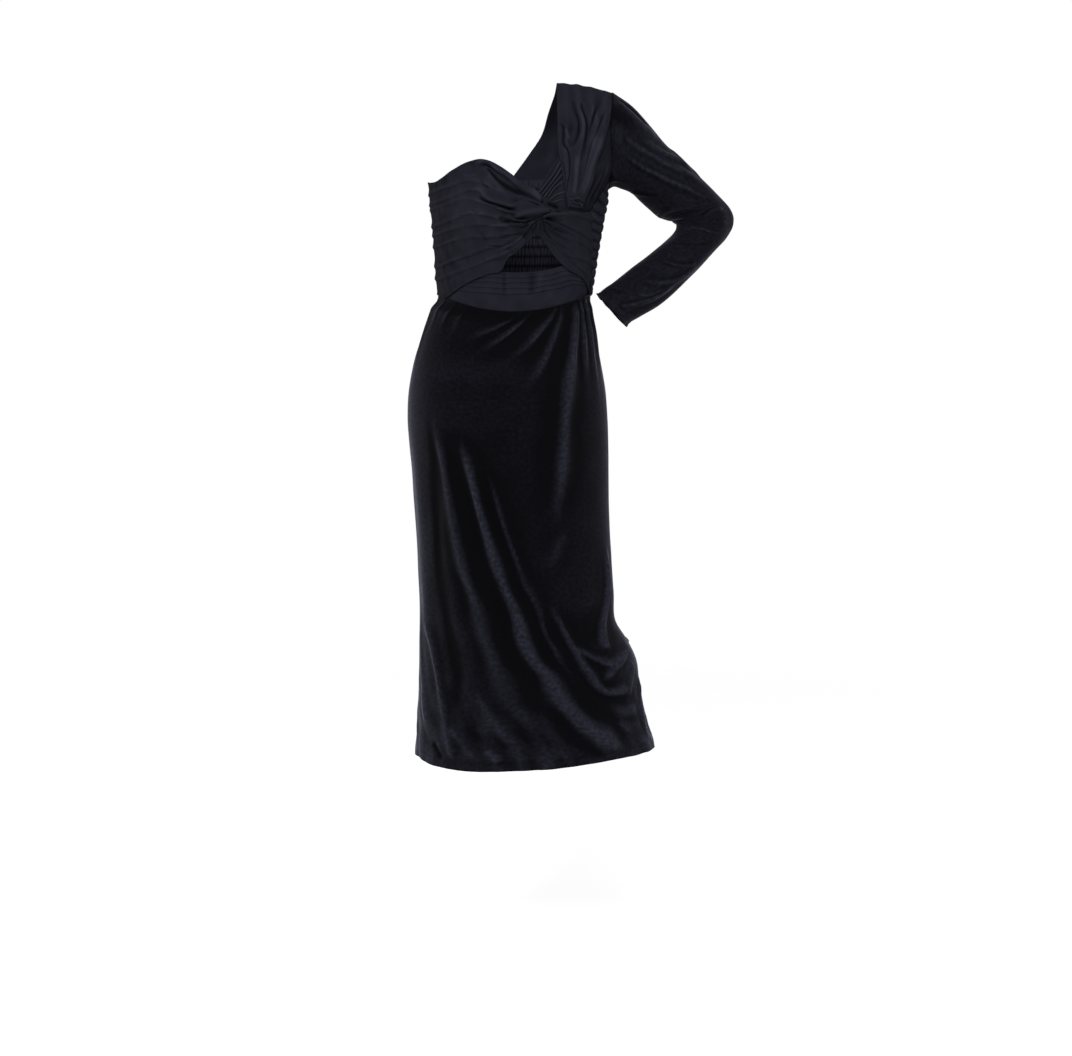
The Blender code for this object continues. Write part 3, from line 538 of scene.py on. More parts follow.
@dataclass(frozen=True)
class SatinFinish:
    """Matte satin of the bodice: a fine weave with a low, uneven lustre."""

    colour: tuple[float, float, float] = (0.0138, 0.0136, 0.0202)
    roughness: float = 0.64
    specular: float = 0.005
    sheen: float = 0.010
    sheen_tint: tuple[float, float, float, float] = (0.55, 0.58, 0.65, 1)
    crest: float = 0.70  # painted highlight on a crest, as how much brighter it is
    trough: float = 0.72  # painted shade in a trough, as how much darker it is
    yarn: float = 0.0005
    weave_depth: float = 0.00004
    wrinkle: float = 0.011  # length of the finest wrinkles
    wrinkle_depth: float = 0.0005

    def material(self) -> bpy.types.Material:
        """Build the material.

        Returns:
            bpy.types.Material: The satin.
        """
        made, graph, shader = Graph.material("matte_satin")
        place, painted_light = graph.cloth()
        mottle = graph.use("soft_mottle", {"Place": place, "Size": 0.035, "Contrast": 2.2})[0]
        # Painted light and shade of the folds: brighter on their crests, darker in their troughs.
        factor = graph.use("fold_light_and_shade", {"Painted light": painted_light, "Crest": self.crest, "Trough": self.trough})[0]
        light = graph.sum("MULTIPLY", factor, graph.sum("MULTIPLY_ADD", mottle, 0.30, 0.85))
        weave = graph.use("fine_weave", {"Place": place, "Yarn": self.yarn})[0]
        small = graph.add("ShaderNodeBump", {"Height": weave, "Distance": self.weave_depth, "Strength": 0.5})
        wrinkle = graph.noise(place, 1 / self.wrinkle, 3.0, 0.55)
        given = {"Height": wrinkle, "Distance": self.wrinkle_depth, "Strength": 0.6, "Normal": small.outputs[0]}
        look = {
            "Base Color": graph.tint(self.colour, light),
            "Roughness": graph.sum("MULTIPLY_ADD", mottle, 0.14, self.roughness - 0.07),
            "Normal": graph.add("ShaderNodeBump", given).outputs[0],
            "Specular IOR Level": self.specular,
            "Sheen Weight": self.sheen,
            "Sheen Roughness": 0.4,
            "Sheen Tint": self.sheen_tint,
        }
        graph.fill(shader, look)
        return made


@dataclass(frozen=True)
class VelvetFinish:
    """Velvet of the skirt and the sleeve: nearly black, with a nap whose sheen lights at its edges, and painted
    highlights and shade on its folds.
    """

    colour: tuple[float, float, float] = (0.0020, 0.0020, 0.0031)
    roughness: float = 0.85
    specular: float = 0.035
    sheen: float = 0.22
    sheen_tint: tuple[float, float, float, float] = (0.74, 0.73, 0.98, 1)
    crest: float = 7.2  # painted highlight on a crest, as how much brighter it is
    trough: float = 0.45  # painted shade in a trough, as how much darker it is
    patch: float = 0.030
    patch_depth: float = 0.003
    pile_depth: float = 0.0004

    def material(self) -> bpy.types.Material:
        """Build the material.

        Returns:
            bpy.types.Material: The velvet.
        """
        made, graph, shader = Graph.material("black_velvet")
        place, painted_light = graph.cloth()
        pile = graph.use("brushed_pile", {"Place": place, "Patch": self.patch})
        ruffled = graph.use("soft_mottle", {"Place": place, "Size": 0.006, "Contrast": 2.4})[0]
        # Painted light and shade of the folds, brighter on their crests and darker in their troughs, made uneven by
        # the fine mottle.
        shading_paint = graph.sum("MULTIPLY", painted_light, graph.sum("MULTIPLY_ADD", ruffled, 0.7, 0.65))
        factor = graph.use("fold_light_and_shade", {"Painted light": shading_paint, "Crest": self.crest, "Trough": self.trough})[0]
        # The painted light and shade of the folds, times the random patches of the pile.
        patch = graph.sum("MULTIPLY", factor, graph.sum("MULTIPLY_ADD", pile["Patches"], 0.4, 0.8))
        light = graph.sum("MULTIPLY", patch, graph.sum("MULTIPLY_ADD", ruffled, 0.25, 0.88))
        given = {"Height": pile["Height"], "Distance": self.pile_depth, "Strength": 0.6}
        fine = graph.add("ShaderNodeBump", given).outputs[0]
        given = {"Height": pile["Patches"], "Distance": self.patch_depth, "Strength": 0.15, "Normal": fine}
        look = {
            "Base Color": graph.tint(self.colour, light),
            "Roughness": graph.sum("MULTIPLY_ADD", pile["Patches"], 0.2, self.roughness - 0.1),
            "Normal": graph.add("ShaderNodeBump", given).outputs[0],
            "Specular IOR Level": self.specular,
            "Sheen Weight": self.sheen,
            "Sheen Roughness": 0.30,
            "Sheen Tint": self.sheen_tint,
        }
        graph.fill(shader, look)
        return made


# Cloth


@dataclass(frozen=True)
class Cut:
    """What a panel was cut to, and how it is held."""

    flat: tuple[float, float]
    area: float
    held: Held
    on: tuple[str, ...]


def facing(points: Array) -> Array:
    """Outward direction at each point of a grid."""
    outward = np.cross(np.gradient(points, axis=1), np.gradient(points, axis=0))
    return outward / np.maximum(np.linalg.norm(outward, axis=-1, keepdims=True), 1e-12)


@dataclass
class Shell:
    """Thin wall of cloth under an outer face of points, made on a grid and thickened."""

    name: str
    outer: Array
    size: tuple[float, float]  # width and length that the cloth's own map spans
    inner: Array | None = None
    wrap: bool = False
    lie_depth: float = 0.0016
    calming: int = 7  # steps of smoothing that the cloth round each point is read from
    lightened: float = 0.0  # painted light that brightens it all over
    shading_paint: float = 0.0  # share of painted light where it turns up and to the wearer's right, and of painted shade where it turns away
    shade: Array | float = 0.0  # painted light added to it, below 0 for painted shade in deep folds
    keen: float = 180.0  # smallest bend, in degrees, that shows as an edge

    def build(self) -> bpy.types.Object:
        """Make the shell.

        Returns:
            bpy.types.Object: The cloth, with its map and its painted light and shade baked.
        """
        rows, columns = self.outer.shape[:2]
        bpy.ops.object.select_all(action="DESELECT")
        bpy.ops.mesh.primitive_grid_add(x_subdivisions=columns - 1, y_subdivisions=rows - 1)
        piece = bpy.context.object
        piece.name = piece.data.name = self.name
        mesh = piece.data
        mesh.vertices.foreach_set("co", (self.outer - SHOULDER).astype(np.float32).ravel())
        layer = mesh.uv_layers[0]
        layer.name = "cloth"
        places = np.empty(len(mesh.loops) * 2, np.float32)
        layer.uv.foreach_get("vector", places)
        layer.uv.foreach_set("vector", (places.reshape(-1, 2) * self.size).astype(np.float32).ravel())
        mesh.attributes.new("painted_light", "FLOAT", "POINT").data.foreach_set("value", self.painted_light().astype(np.float32).ravel())
        mesh.update()
        if self.wrap:
            bpy.ops.object.mode_set(mode="EDIT")
            bpy.ops.mesh.select_all(action="SELECT")
            bpy.ops.mesh.remove_doubles(threshold=1e-5)
            bpy.ops.object.mode_set(mode="OBJECT")
        wall = piece.modifiers.new("wall", "SOLIDIFY")
        wall.thickness = WALL
        wall.offset = -1
        bpy.ops.object.modifier_apply(modifier="wall")
        if self.inner is not None:
            points = np.concatenate([self.outer, self.inner]).reshape(-1, 3) - SHOULDER
            piece.data.vertices.foreach_set("co", points.astype(np.float32).ravel())
            piece.data.update()
        bpy.ops.object.shade_smooth_by_angle(angle=math.radians(self.keen))
        return piece

    def painted_light(self) -> Array:
        """How much painted light or shade each point gets, from how far it stands above the cloth round it.

        Returns:
            Array: From -1, painted shade in a trough, to 1, a painted highlight on a crest.
        """
        spread = self.outer
        for _ in range(self.calming):
            padded = np.pad(spread, ((2, 2), (2, 2), (0, 0)), mode="reflect", reflect_type="odd")
            if self.wrap:
                padded[:, :2] = padded[:, -6:-4]
                padded[:, -2:] = padded[:, 4:6]
            near = [padded[:-4, 2:-2], padded[4:, 2:-2], padded[2:-2, :-4], padded[2:-2, 4:]]
            spread = (spread + sum(near)) / 5
        outward = facing(self.outer)
        # Painted light and shade: lighter on a crest, darker in a trough, lighter where the cloth turns towards the
        # light, plus the painted shares it is given.
        stands = ((self.outer - spread) * outward).sum(-1) / self.lie_depth
        turned = ((outward - facing(spread)) * (-0.75, -0.35, 0.55)).sum(-1) * self.shading_paint
        return np.clip(stands + turned + self.lightened + self.shade, -1, 1)


@dataclass
class Wardrobe:
    """Gives finished panels their finish, their body and their place in the part."""

    satin: bpy.types.Material
    velvet: bpy.types.Material

    def hang(self, piece: bpy.types.Object, node: str, slot: str) -> None:
        """Args:
            piece: The cloth.
            node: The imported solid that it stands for.
            slot: The finish's slot.
        """
        piece.data.materials.clear()
        piece.data.materials.append(self.satin if slot == "satin" else self.velvet)
        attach(piece, "root")
        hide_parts(node)
        LOG.info("%s: %d faces, stands for %s", piece.name, len(piece.data.polygons), node)


# Skirt. In each row of creases: width, rise, lean, fade, tail, swell and sharp, and after the bar the line's points,
# each as an angle and a height. Sizes that are left out at the end of a row are the usual ones.

SKIRT_FRONT_CREASES = creases("""
    .005 .0036 0 .03 .75 1.6 .7 | 8.5 1.1755 -6.5 1.1518 -19.8 1.138 -30 1.124;
    .0055 .004 0 .03 .75 1.7 .7 | 16 1.177 3.2 1.1471 -8.4 1.125 -22 1.103;
    .0065 .0046 0 .03 .7 1.8 .6 | 36 1.184 20.8 1.1438 10.7 1.116 -5 1.085;
    .0065 .0048 0 .03 .75 1.8 .6 | 41 1.187 31.8 1.1392 20.5 1.0833 8 1.04;
    .0104 .006 0 .02 .35 1.5 .5 | 54 1.193 44.8 1.112 36.4 1.0261 31.7 .9179 26 .815;
    .009 .0014 0 .3 .5 1.3 .5 | 33.1 .8261 26.2 .7845 19.4 .7525;
    .0065 .0048 0 .02 .7 1.5 .6 | 61 1.196 56.2 1.1115 53 1.02;
    .0075 .0048 0 .02 .7 1.5 .6 | 69 1.199 67.3 1.1108 64 1;
    .0086 .0042 .2 .2 .45 2.6 .3 | -46.5 1.018 -43 .97 -40 .9412 -36 .8503 -30.4 .7657 -24.5 .7155 -20.5 .6756
        -17.2 .6246 -14.6 .5822 -10.6 .5457 -6 .5202 .1 .4948;
    .0088 .0096 .2 .12 .12 2.5 .4 | -28.6 .9787 -22.2 .925 -17 .8587 -10.1 .7767 -4.4 .7229 2.8 .6686 4.3 .6171
        10.4 .5827 17.4 .5417 26.8 .5026 38.6 .4699 53 .4516;
    .006 .0034 .25 .15 .4 2 .6 | -16.3 .9436 -9 .8896 -3.8 .8289 2.3 .7717 5.5 .7405 14.4 .6822 18.1 .6272 19.2 .604
        27.1 .5627 32.8 .5496;
    .0075 .0066 .3 .2 .1 1.2 .6 | 17.6 .7104 27.6 .6604 29.5 .6223 31.7 .5931 37.4 .5627 45 .5485 56.4 .5495
        64.1 .5592;
    .007 .005 .3 .2 0 1.3 .5 | 30.9 .6306 39.3 .6082 51.1 .5955 67.9 .6091;
    .007 .0044 .3 .2 0 1 .5 | 42.1 .567 51.2 .5867 69.2 .6085 81.2 .6241;
    .01 .0052 0 .2 0 1 .3 | 69.7 .7993 67.5 .7123 54.4 .641 50.6 .616;
    .0065 .0038 0 .2 0 1 .5 | 60.2 .5338 67.3 .5679 72.5 .5929;
    .011 .0026 0 .35 | 46 .5253 57 .513 70 .5221;
    .01 .0022 0 .35 | 44 .4986 57 .4853 72 .4925;
    .009 .0034 .2 .3 0 1.4 .4 | -28.7 .5593 -21.4 .5239 -15.7 .4935 -10.5 .4658;
    .008 .0036 0 .25 0 1.2 .4 | -43.9 .4968 -36.2 .4708 -29.5 .4385;
    .007 .0024 | -23.2 .4613 -19.4 .4506 -15.7 .4398;
    .006 -.004 | -57.1 .4611 -53.7 .4507 -48.2 .4336;
    .007 .0044 0 .15 0 1.4 .6 | -66.8 .6651 -57.8 .628 -50.5 .5433 -45 .4735 -41.4 .4338;
    .01 -.0022 0 .3 .3 1.5 | -50 1.04 -47 .99 -46 .94 -47.5 .8704 -48.5 .7704 -45.5 .7 -41 .6389 -38.5 .5726
        -38.5 .5057 -40.5 .4544;
    .024 .0026 0 .3 | -70 1.02 -66 .87 -66 .7 -62 .55 -60 .46;
    .004 .0022 0 .03 .7 1.4 .6 | -66 1.198 -65.5 1.169 -67.5 1.14;
    .004 .002 0 .03 .7 1.4 .6 | -50 1.1915 -50.6 1.168 -54 1.135;
    .005 .0012 0 .03 .8 1.4 .6 | -36 1.185 -38 1.156 -44 1.12;
    .008 .0036 0 .03 .7 1.5 .5 | -80 1.201 -79 1.14 -74 1.06;
    .008 .0036 0 .03 .7 1.5 .5 | 80 1.201 80 1.13 77 1.05;
    .01 .003 0 .3 | -80 .7 -72 .58 -64 .47;
    .008 .0034 0 .25 0 1 .3 | 84 .57 76 .51 74 .45
""")
SKIRT_BACK_CREASES = creases("""
    .007 .004 0 .03 .7 1.5 .6 | 104 1.2 109 1.14 116 1.08;
    .0095 .0054 0 .03 .6 1.6 .5 | 120 1.201 124 1.12 131 1.04;
    .008 .004 0 .03 .7 1.5 .6 | 141 1.201 144 1.13 150 1.065;
    .006 .0032 0 .03 .7 1.5 .6 | 163 1.201 165 1.14 168 1.09;
    .0055 .003 0 .03 .7 1.5 .6 | 183 1.201 184 1.15 183 1.11;
    .008 .0044 0 .03 .7 1.6 .6 | 197 1.201 200 1.14 207 1.085;
    .0075 .0036 0 .03 .7 1.5 .6 | 221 1.201 219 1.13 213 1.06;
    .0095 .0054 0 .03 .6 1.6 .5 | 243 1.201 240 1.12 233 1.05;
    .007 .0036 0 .03 .7 1.5 .6 | 258 1.2 256 1.13 250 1.06;
    .016 -.003 | 150 1.01 170 .995 192 1 214 1.012;
    .008 .0085 .25 .12 .2 2.4 .5 | 128 .94 135 .8 148 .66 168 .51;
    .007 .0058 .2 .12 .45 2.4 .6 | 158 .95 167 .83 177 .72 190 .59;
    .008 .008 -.25 .12 .25 2.3 .5 | 226 .95 217 .82 211 .68 204 .52;
    .0075 .0036 0 .2 .5 1.6 .5 | 203 .93 199 .85 192 .78;
    .009 .007 .3 .15 .3 1.6 .5 | 96 .622 110 .605 128 .56 154 .47;
    .008 .0045 .3 .2 .3 1.5 .5 | 98 .56 116 .52 134 .462;
    .009 .0055 0 .2 0 1.4 .5 | 252 .66 246 .56 236 .5 230 .446;
    .008 .004 0 .2 0 1.3 .4 | 262 .6 257 .52 250 .45;
    .0085 .0042 0 .25 0 1.4 .4 | 182 .56 187 .5 188 .446;
    .0075 .0032 0 .25 0 1.3 .4 | 214 .52 219 .47 220 .44;
    .0095 .004 0 .3 .4 1.5 .4 | 112 .9 116 .8 112 .7;
    .0095 .0036 0 .3 .4 1.5 .4 | 246 .9 243 .8 247 .71
""")


@dataclass
class Skirt:
    """Slim velvet skirt to the calf, in a front and a back panel, with a turned hem."""

    figure: Figure
    hem: float = 0.4300
    hem_tilt: float = 0.0085
    hem_turn: float = 0.0120  # depth of the turned hem
    hem_groove: float = 0.0005
    waist_out: float = 0.0026
    waist_kept: float = 0.3  # share of the folds' height that is left at the waist seam
    gather_depth: float = 0.022
    hem_waves: tuple[tuple[float, float, float], ...] = (  # angle, spread and rise
        (-76.0, 12.0, 0.0045), (-34.0, 18.0, -0.0030), (40.0, 24.0, 0.0042)
    )
    lap: float = 0.8  # degrees that the front panel goes on behind the back one
    seam_groove: float = 0.0003
    waist_lap: float = 0.0010  # how far its top edge goes up over the foot of the band
    lightened: float = 0.17  # how much lighter it is towards the hem
    calm: float = 0.06  # how much darker it lies over the hips, as less painted light there
    edge_lit: float = 0.20  # painted light at the wearer's right side, as how much brighter it lies there
    ruffled: float = 0.62  # height below which the cloth is uneven, and more so towards the hem
    calming_points: int = 1733  # points of a panel for each step of smoothing
    left_out: float = 0.0038  # how much further it stands out under the waist at the wearer's left
    right_out: float = 0.0030  # and at the wearer's right
    seam: float = 90.0
    table: Table = Table(
        "right left front back",
        """
        .41 -.1768 .2372 .132 .13; .446 -.1745 .2338 .13 .128; .481 -.1715 .2222 .127 .126;
        .516 -.17 .214 .124 .124; .551 -.1684 .2078 .121 .122; .586 -.1675 .2032 .119 .121;
        .621 -.1668 .1868 .117 .12; .65 -.166 .1688 .116 .119; .707 -.1661 .1634 .115 .119;
        .759 -.168 .1594 .115 .119; .81 -.1704 .1562 .115 .121; .861 -.1734 .1542 .116 .124;
        .912 -.1766 .1534 .117 .128; .962 -.1806 .1528 .118 .132; 1 -.1826 .1512 .118 .134;
        1.04 -.1808 .148 .116 .131; 1.08 -.174 .1414 .112 .123; 1.112 -.1652 .1356 .105 .114;
        1.14 -.1552 .1306 .098 .105; 1.171 -.1442 .1246 .09 .096; 1.205 -.1312 .1212 .088 .0865
        """,
    )

    def face(self, angle: Array, height: Array, out: Array) -> Array:
        """Points on the skirt's outer face.

        Args:
            angle: Degrees round the figure.
            height: Height above the floor.
            out: How far the cloth is moved out.

        Returns:
            Array: Points, with X, Y and Z last.
        """
        sine, cosine = np.sin(np.radians(angle)), np.cos(np.radians(angle))
        right, left = self.table.at("right", height), self.table.at("left", height)
        depth = np.where(cosine > 0, self.table.at("front", height), self.table.at("back", height))
        x = (left + right) / 2 + ((left - right) / 2 + out) * sine
        return np.stack([x, -(depth + out) * cosine, height + 0.0 * x], axis=-1)

    def panel(
        self, name: str, first: float, lap: float, relief: Relief, rows: int, columns: int
    ) -> bpy.types.Object:
        """Make one panel between the side seams.

        Args:
            name: The panel's name.
            first: Angle of its right edge, seen from outside.
            lap: Degrees that it goes on past each seam.
            relief: Its creases.
            rows: Points up it.
            columns: Points round it.

        Returns:
            bpy.types.Object: The panel.
        """
        turns = np.linspace(first, first + 2 * self.seam, columns)
        if lap:
            turns = np.concatenate([[first - lap], turns, [turns[-1] + lap]])
        angle, up = np.meshgrid(turns, np.linspace(0, 1, rows))
        past = np.abs(angle - first - self.seam) - self.seam
        hem = self.hem + self.hem_tilt * np.sin(np.radians(angle))
        for place, spread, rise in self.hem_waves:
            hem = hem + rise * bell((angle - place + 180) % 360, 180, spread)
        waist = self.figure.waist(angle)
        height = mix(hem, waist + self.waist_lap, up)
        groove = bell(height - hem, self.hem_turn, 0.0022) * self.hem_groove
        uneven = Ripple(13, 0.0012, 0.014, 0.050, 26).height(angle * FLAT_ANGLE * 1.4 + height * 0.4, height * 0.6)
        raised = relief.height(angle, height) + uneven * soft_step(self.ruffled - height, 0, 0.17)
        raised = raised * soft_step(-past, 0, 3.5) - groove - self.seam_groove * bell(past, 0, 1.2)
        raised = raised - 1.2 * WALL * soft_step(past, 0, self.lap)
        sewn = soft_step(height, waist - self.gather_depth, waist)[..., None]
        side = self.left_out * bell(angle, 90, 20) + self.right_out * bell((angle + 270) % 360, 180, 14)
        seam = self.figure.torso(angle, height, self.waist_out + side + self.waist_kept * raised)
        face = mix(self.face(angle, height, raised), seam, sewn)
        # Lighter towards the hem and darker over the hips, with a band of painted light at the wearer's right side,
        # all added to the painted light of the folds.
        lightened = self.lightened * soft_step(0.80 - height, 0, 0.35) - self.calm * soft_step(height, 0.80, 0.95)
        lightened = lightened + self.edge_lit * bell((angle + 250) % 360, 180, 17) * soft_step(1.12 - height, 0, 0.10)
        calming = rows * columns // self.calming_points
        shell = Shell(name, face, (0.46, 0.76), lie_depth=0.0044, calming=calming, shading_paint=0.9, shade=lightened, keen=60.0)
        return shell.build()

    def build(self, wardrobe: Wardrobe) -> None:
        """Make and hang both panels.

        Args:
            wardrobe: What dresses them.
        """
        front = Relief(SKIRT_FRONT_CREASES, FLAT, Ripple(11, 0.0004, 0.040, 0.14, 22))
        back = Relief(SKIRT_BACK_CREASES, FLAT, Ripple(12, 0.0004, 0.040, 0.14, 22))
        piece = self.panel("skirt_front_cloth", -self.seam, self.lap, front, 230, 136)
        wardrobe.hang(piece, "skirt_front", "velvet")
        piece = self.panel("skirt_back_cloth", self.seam, 0.0, back, 170, 110)
        wardrobe.hang(piece, "skirt_back", "velvet")


# Bodice

TUCK_LINES = tuple(
    replace(tuck, rise=TUCK_KEPT * tuck.rise)
    for tuck in creases("""
    .01 .0024 .86 .06 | -112 1.36 -95 1.3616 -70 1.367 -47 1.3742 -34.3 1.3807 -23.7 1.3766 -14 1.365;
    .01 .0026 .86 .06 | -112 1.344 -95 1.3448 -70 1.35 -47.5 1.3569 -33.7 1.3647 -25.1 1.364 -19.7 1.3498
        -10.7 1.3392 .7 1.3333;
    .01 .002 .86 .06 | -112 1.335 -95 1.3357 -70 1.3405 -47.8 1.3475 -34.6 1.3523 -23.8 1.3452 -10.7 1.3362;
    .01 .0027 .86 .06 | -112 1.309 -95 1.3101 -70 1.314 -48.9 1.321 -32.6 1.3289 -20.5 1.3253 -7.3 1.3178;
    .01 .0023 .86 .06 | -112 1.294 -95 1.2951 -70 1.299 -49.5 1.3055 -31.4 1.3104 -17.1 1.31 -4 1.3071;
    .01 .0025 .86 .06 | -112 1.276 -95 1.2769 -70 1.28 -50.3 1.2867 -31.8 1.292 -17.1 1.2917 -2.5 1.2963;
    .01 .0027 .86 .06 | -112 1.245 -95 1.2463 -70 1.248 -51.3 1.2551 -32.1 1.2656 -17.1 1.2762 -3.6 1.2793;
    .01 .0024 .86 .06 | -112 1.225 -95 1.2262 -70 1.2275 -52 1.2344 -32.3 1.2452 -17 1.2575 -2.1 1.2699;
    .01 .0016 .86 .06 | -20.6 1.2544 -10.1 1.2606 -1.9 1.2637;
    .01 .002 .86 .06 | -10.1 1.2637 -.1 1.2731 7.5 1.2886;
    .01 .0026 .86 .06 | 18.1 1.3299 32 1.3319 55.9 1.3216 72 1.312;
    .01 .0026 .86 .06 | 15 1.32 26.3 1.3163 42.1 1.3049 66.6 1.2891 84 1.276;
    .01 .0025 .86 .06 | 15 1.315 24.4 1.3101 38.6 1.2939 65.6 1.2747 86 1.26;
    .01 .0024 .86 .06 | 15 1.308 21.3 1.3009 28.1 1.2811 37.8 1.2647 60 1.257 88 1.24;
    .01 .0024 .86 .06 | 22 1.29 31.4 1.2781 43 1.258 59.5 1.2394 92 1.214
""")
)
TUCKS = TUCK_LINES + tuple(replace(tuck, width=0.0016, rise=-0.0010, lean=0.0, sharp=0.5) for tuck in TUCK_LINES)
BODICE_FOLDS = creases("""
    .0082 .0066 .25 .12 0 1 -.8 | -30 1.409 -19.1 1.412 -12.1 1.3994 -5.1 1.3864 .3 1.3742 5.8 1.366 11.4 1.3577
        18 1.344;
    .024 .0036 0 .3 | -27 1.384 -14 1.365 2 1.342;
    .018 .0028 0 .3 | -24 1.302 -10 1.301 3 1.306;
    .0026 -.0056 0 .25 .1 3 | -20 1.406 -17 1.3981 -12.1 1.3836 -7.2 1.3714 -3.3 1.3637 3.5 1.36;
    .002 -.0018 0 .25 0 1 .4 | -23.8 1.3838 -21.5 1.374 -17.5 1.3671;
    .002 -.0034 0 .2 .05 1.5 .3 | -25 1.358 -22.1 1.3495 -16.3 1.3443 -9.6 1.3405 -5.1 1.3366 1 1.3338;
    .0058 .0026 .5 .15 | -25 1.359 -19.2 1.3523 -11.9 1.347 -5.2 1.3418 1 1.34;
    .0032 .003 .2 .2 | -14 1.3385 -9 1.335 -4.4 1.3312 1 1.33;
    .0042 -.0044 -.3 .25 0 1.3 | -12.5 1.3225 -9.4 1.321 -6.5 1.318 -2 1.3165;
    .0046 .0022 -.3 | -20 1.308 -11 1.3111 -5.4 1.3126 1 1.3132;
    .0018 -.002 0 .2 0 1.5 .3 | -12.5 1.2957 -4.5 1.2952 1.7 1.2978 5 1.3006;
    .0018 -.0016 0 .25 | -13.5 1.293 -5 1.2922 1 1.2938;
    .002 -.002 0 .2 0 1.5 | -20 1.2791 -11.4 1.279 -4.3 1.2817 1.9 1.2885;
    .0042 .003 .35 .1 .5 | 5 1.2965 -.3 1.2857 -7.2 1.2776 -15 1.272;
    .004 .0034 .4 .1 .5 | 18 1.317 21.9 1.3097 27.3 1.3019 35.3 1.293 52 1.2828;
    .004 .0032 -.4 .1 .5 | 19 1.3165 24.8 1.3137 33 1.3075 42.4 1.3 62.7 1.2889;
    .0045 .0034 -.5 .1 .5 | 18 1.325 20.5 1.3269 26.5 1.329 36.4 1.3297 44.9 1.3271 58 1.319;
    .003 .0006 .3 .3 | -32 1.356 -27 1.368 -21 1.37;
    .0034 .0012 .3 .3 | -38 1.3905 -31 1.389 -25.5 1.3935;
    .0018 -.0016 0 .3 | -24.4 1.3617 -21 1.353 -19.4 1.3523;
    .0024 -.0012 0 .3 | -31 1.338 -27 1.33 -24 1.333;
    .0024 -.0012 0 .3 | -26 1.301 -22 1.295 -20 1.286
""")
KNOT_FOLDS = creases("""
    .0068 .01 .25 .05 .15 1 -1 | -11.1 1.3986 -4.7 1.3856 .3 1.3734 5.4 1.3653 10.6 1.3571 14.4 1.3477 18.8 1.3385;
    .0034 .0085 .4 .15 | -4.5 1.3641 .5 1.3593 5.6 1.3526 10.9 1.3464 16.2 1.3409;
    .0026 .01 .4 .15 0 1 .3 | 4.5 1.3613 8.6 1.3571 12.8 1.3497 16.8 1.3408;
    .0086 .0108 .15 .14 .14 1 -1.4 | -3 1.3258 .3 1.327 3.1 1.3298 8.2 1.3314 13.4 1.3328 18.3 1.335 20.5 1.3362;
    .0028 .0085 0 .2 0 1 .3 | -8.2 1.3272 -5 1.3233 -.8 1.3194 4.4 1.3172 8.1 1.3183;
    .0066 .007 .4 .1 .3 1 -.6 | -23 1.3557 -17.7 1.3516 -10.9 1.3464 -4.8 1.3412 .8 1.3401;
    .0028 .0076 .2 .1 .3 1 .3 | -12 1.3385 -6 1.3337 -1.5 1.3305 2 1.3312;
    .0054 .007 -.3 .1 .3 1 -.6 | -12 1.31 -4.9 1.3121 1.4 1.3128 7 1.3143;
    .0042 .0076 .35 .06 .2 1.2 .2 | 11.5 1.3185 7.3 1.3067 4.4 1.2961 -.2 1.2854 -6.6 1.2773;
    .003 .0062 0 .1 .2 1.2 .3 | 12.4 1.3175 10.5 1.3067 9.9 1.2987 8.8 1.2881;
    .0028 .0058 0 .1 .2 1.2 .3 | 13.6 1.3175 14.5 1.308 13.9 1.296;
    .003 .0062 0 .1 .2 1.3 .3 | 15 1.318 17 1.3066 17.2 1.293;
    .0034 .009 .4 .06 .3 1.3 .2 | 16.2 1.319 20.2 1.3092 25.1 1.3014 32.3 1.2925 46.5 1.2824;
    .0034 .0084 -.4 .06 .3 1.3 .2 | 16.6 1.3205 22.8 1.3132 30.2 1.307 38.5 1.2995 54.9 1.2883;
    .0052 .0088 -.4 .08 .3 1 -.5 | 15.4 1.3225 18.9 1.3264 24.4 1.3284 33.3 1.3291 40.7 1.3264;
    .0026 .006 0 .2 .3 1 .3 | 19.5 1.3335 25 1.34 29 1.348
""")


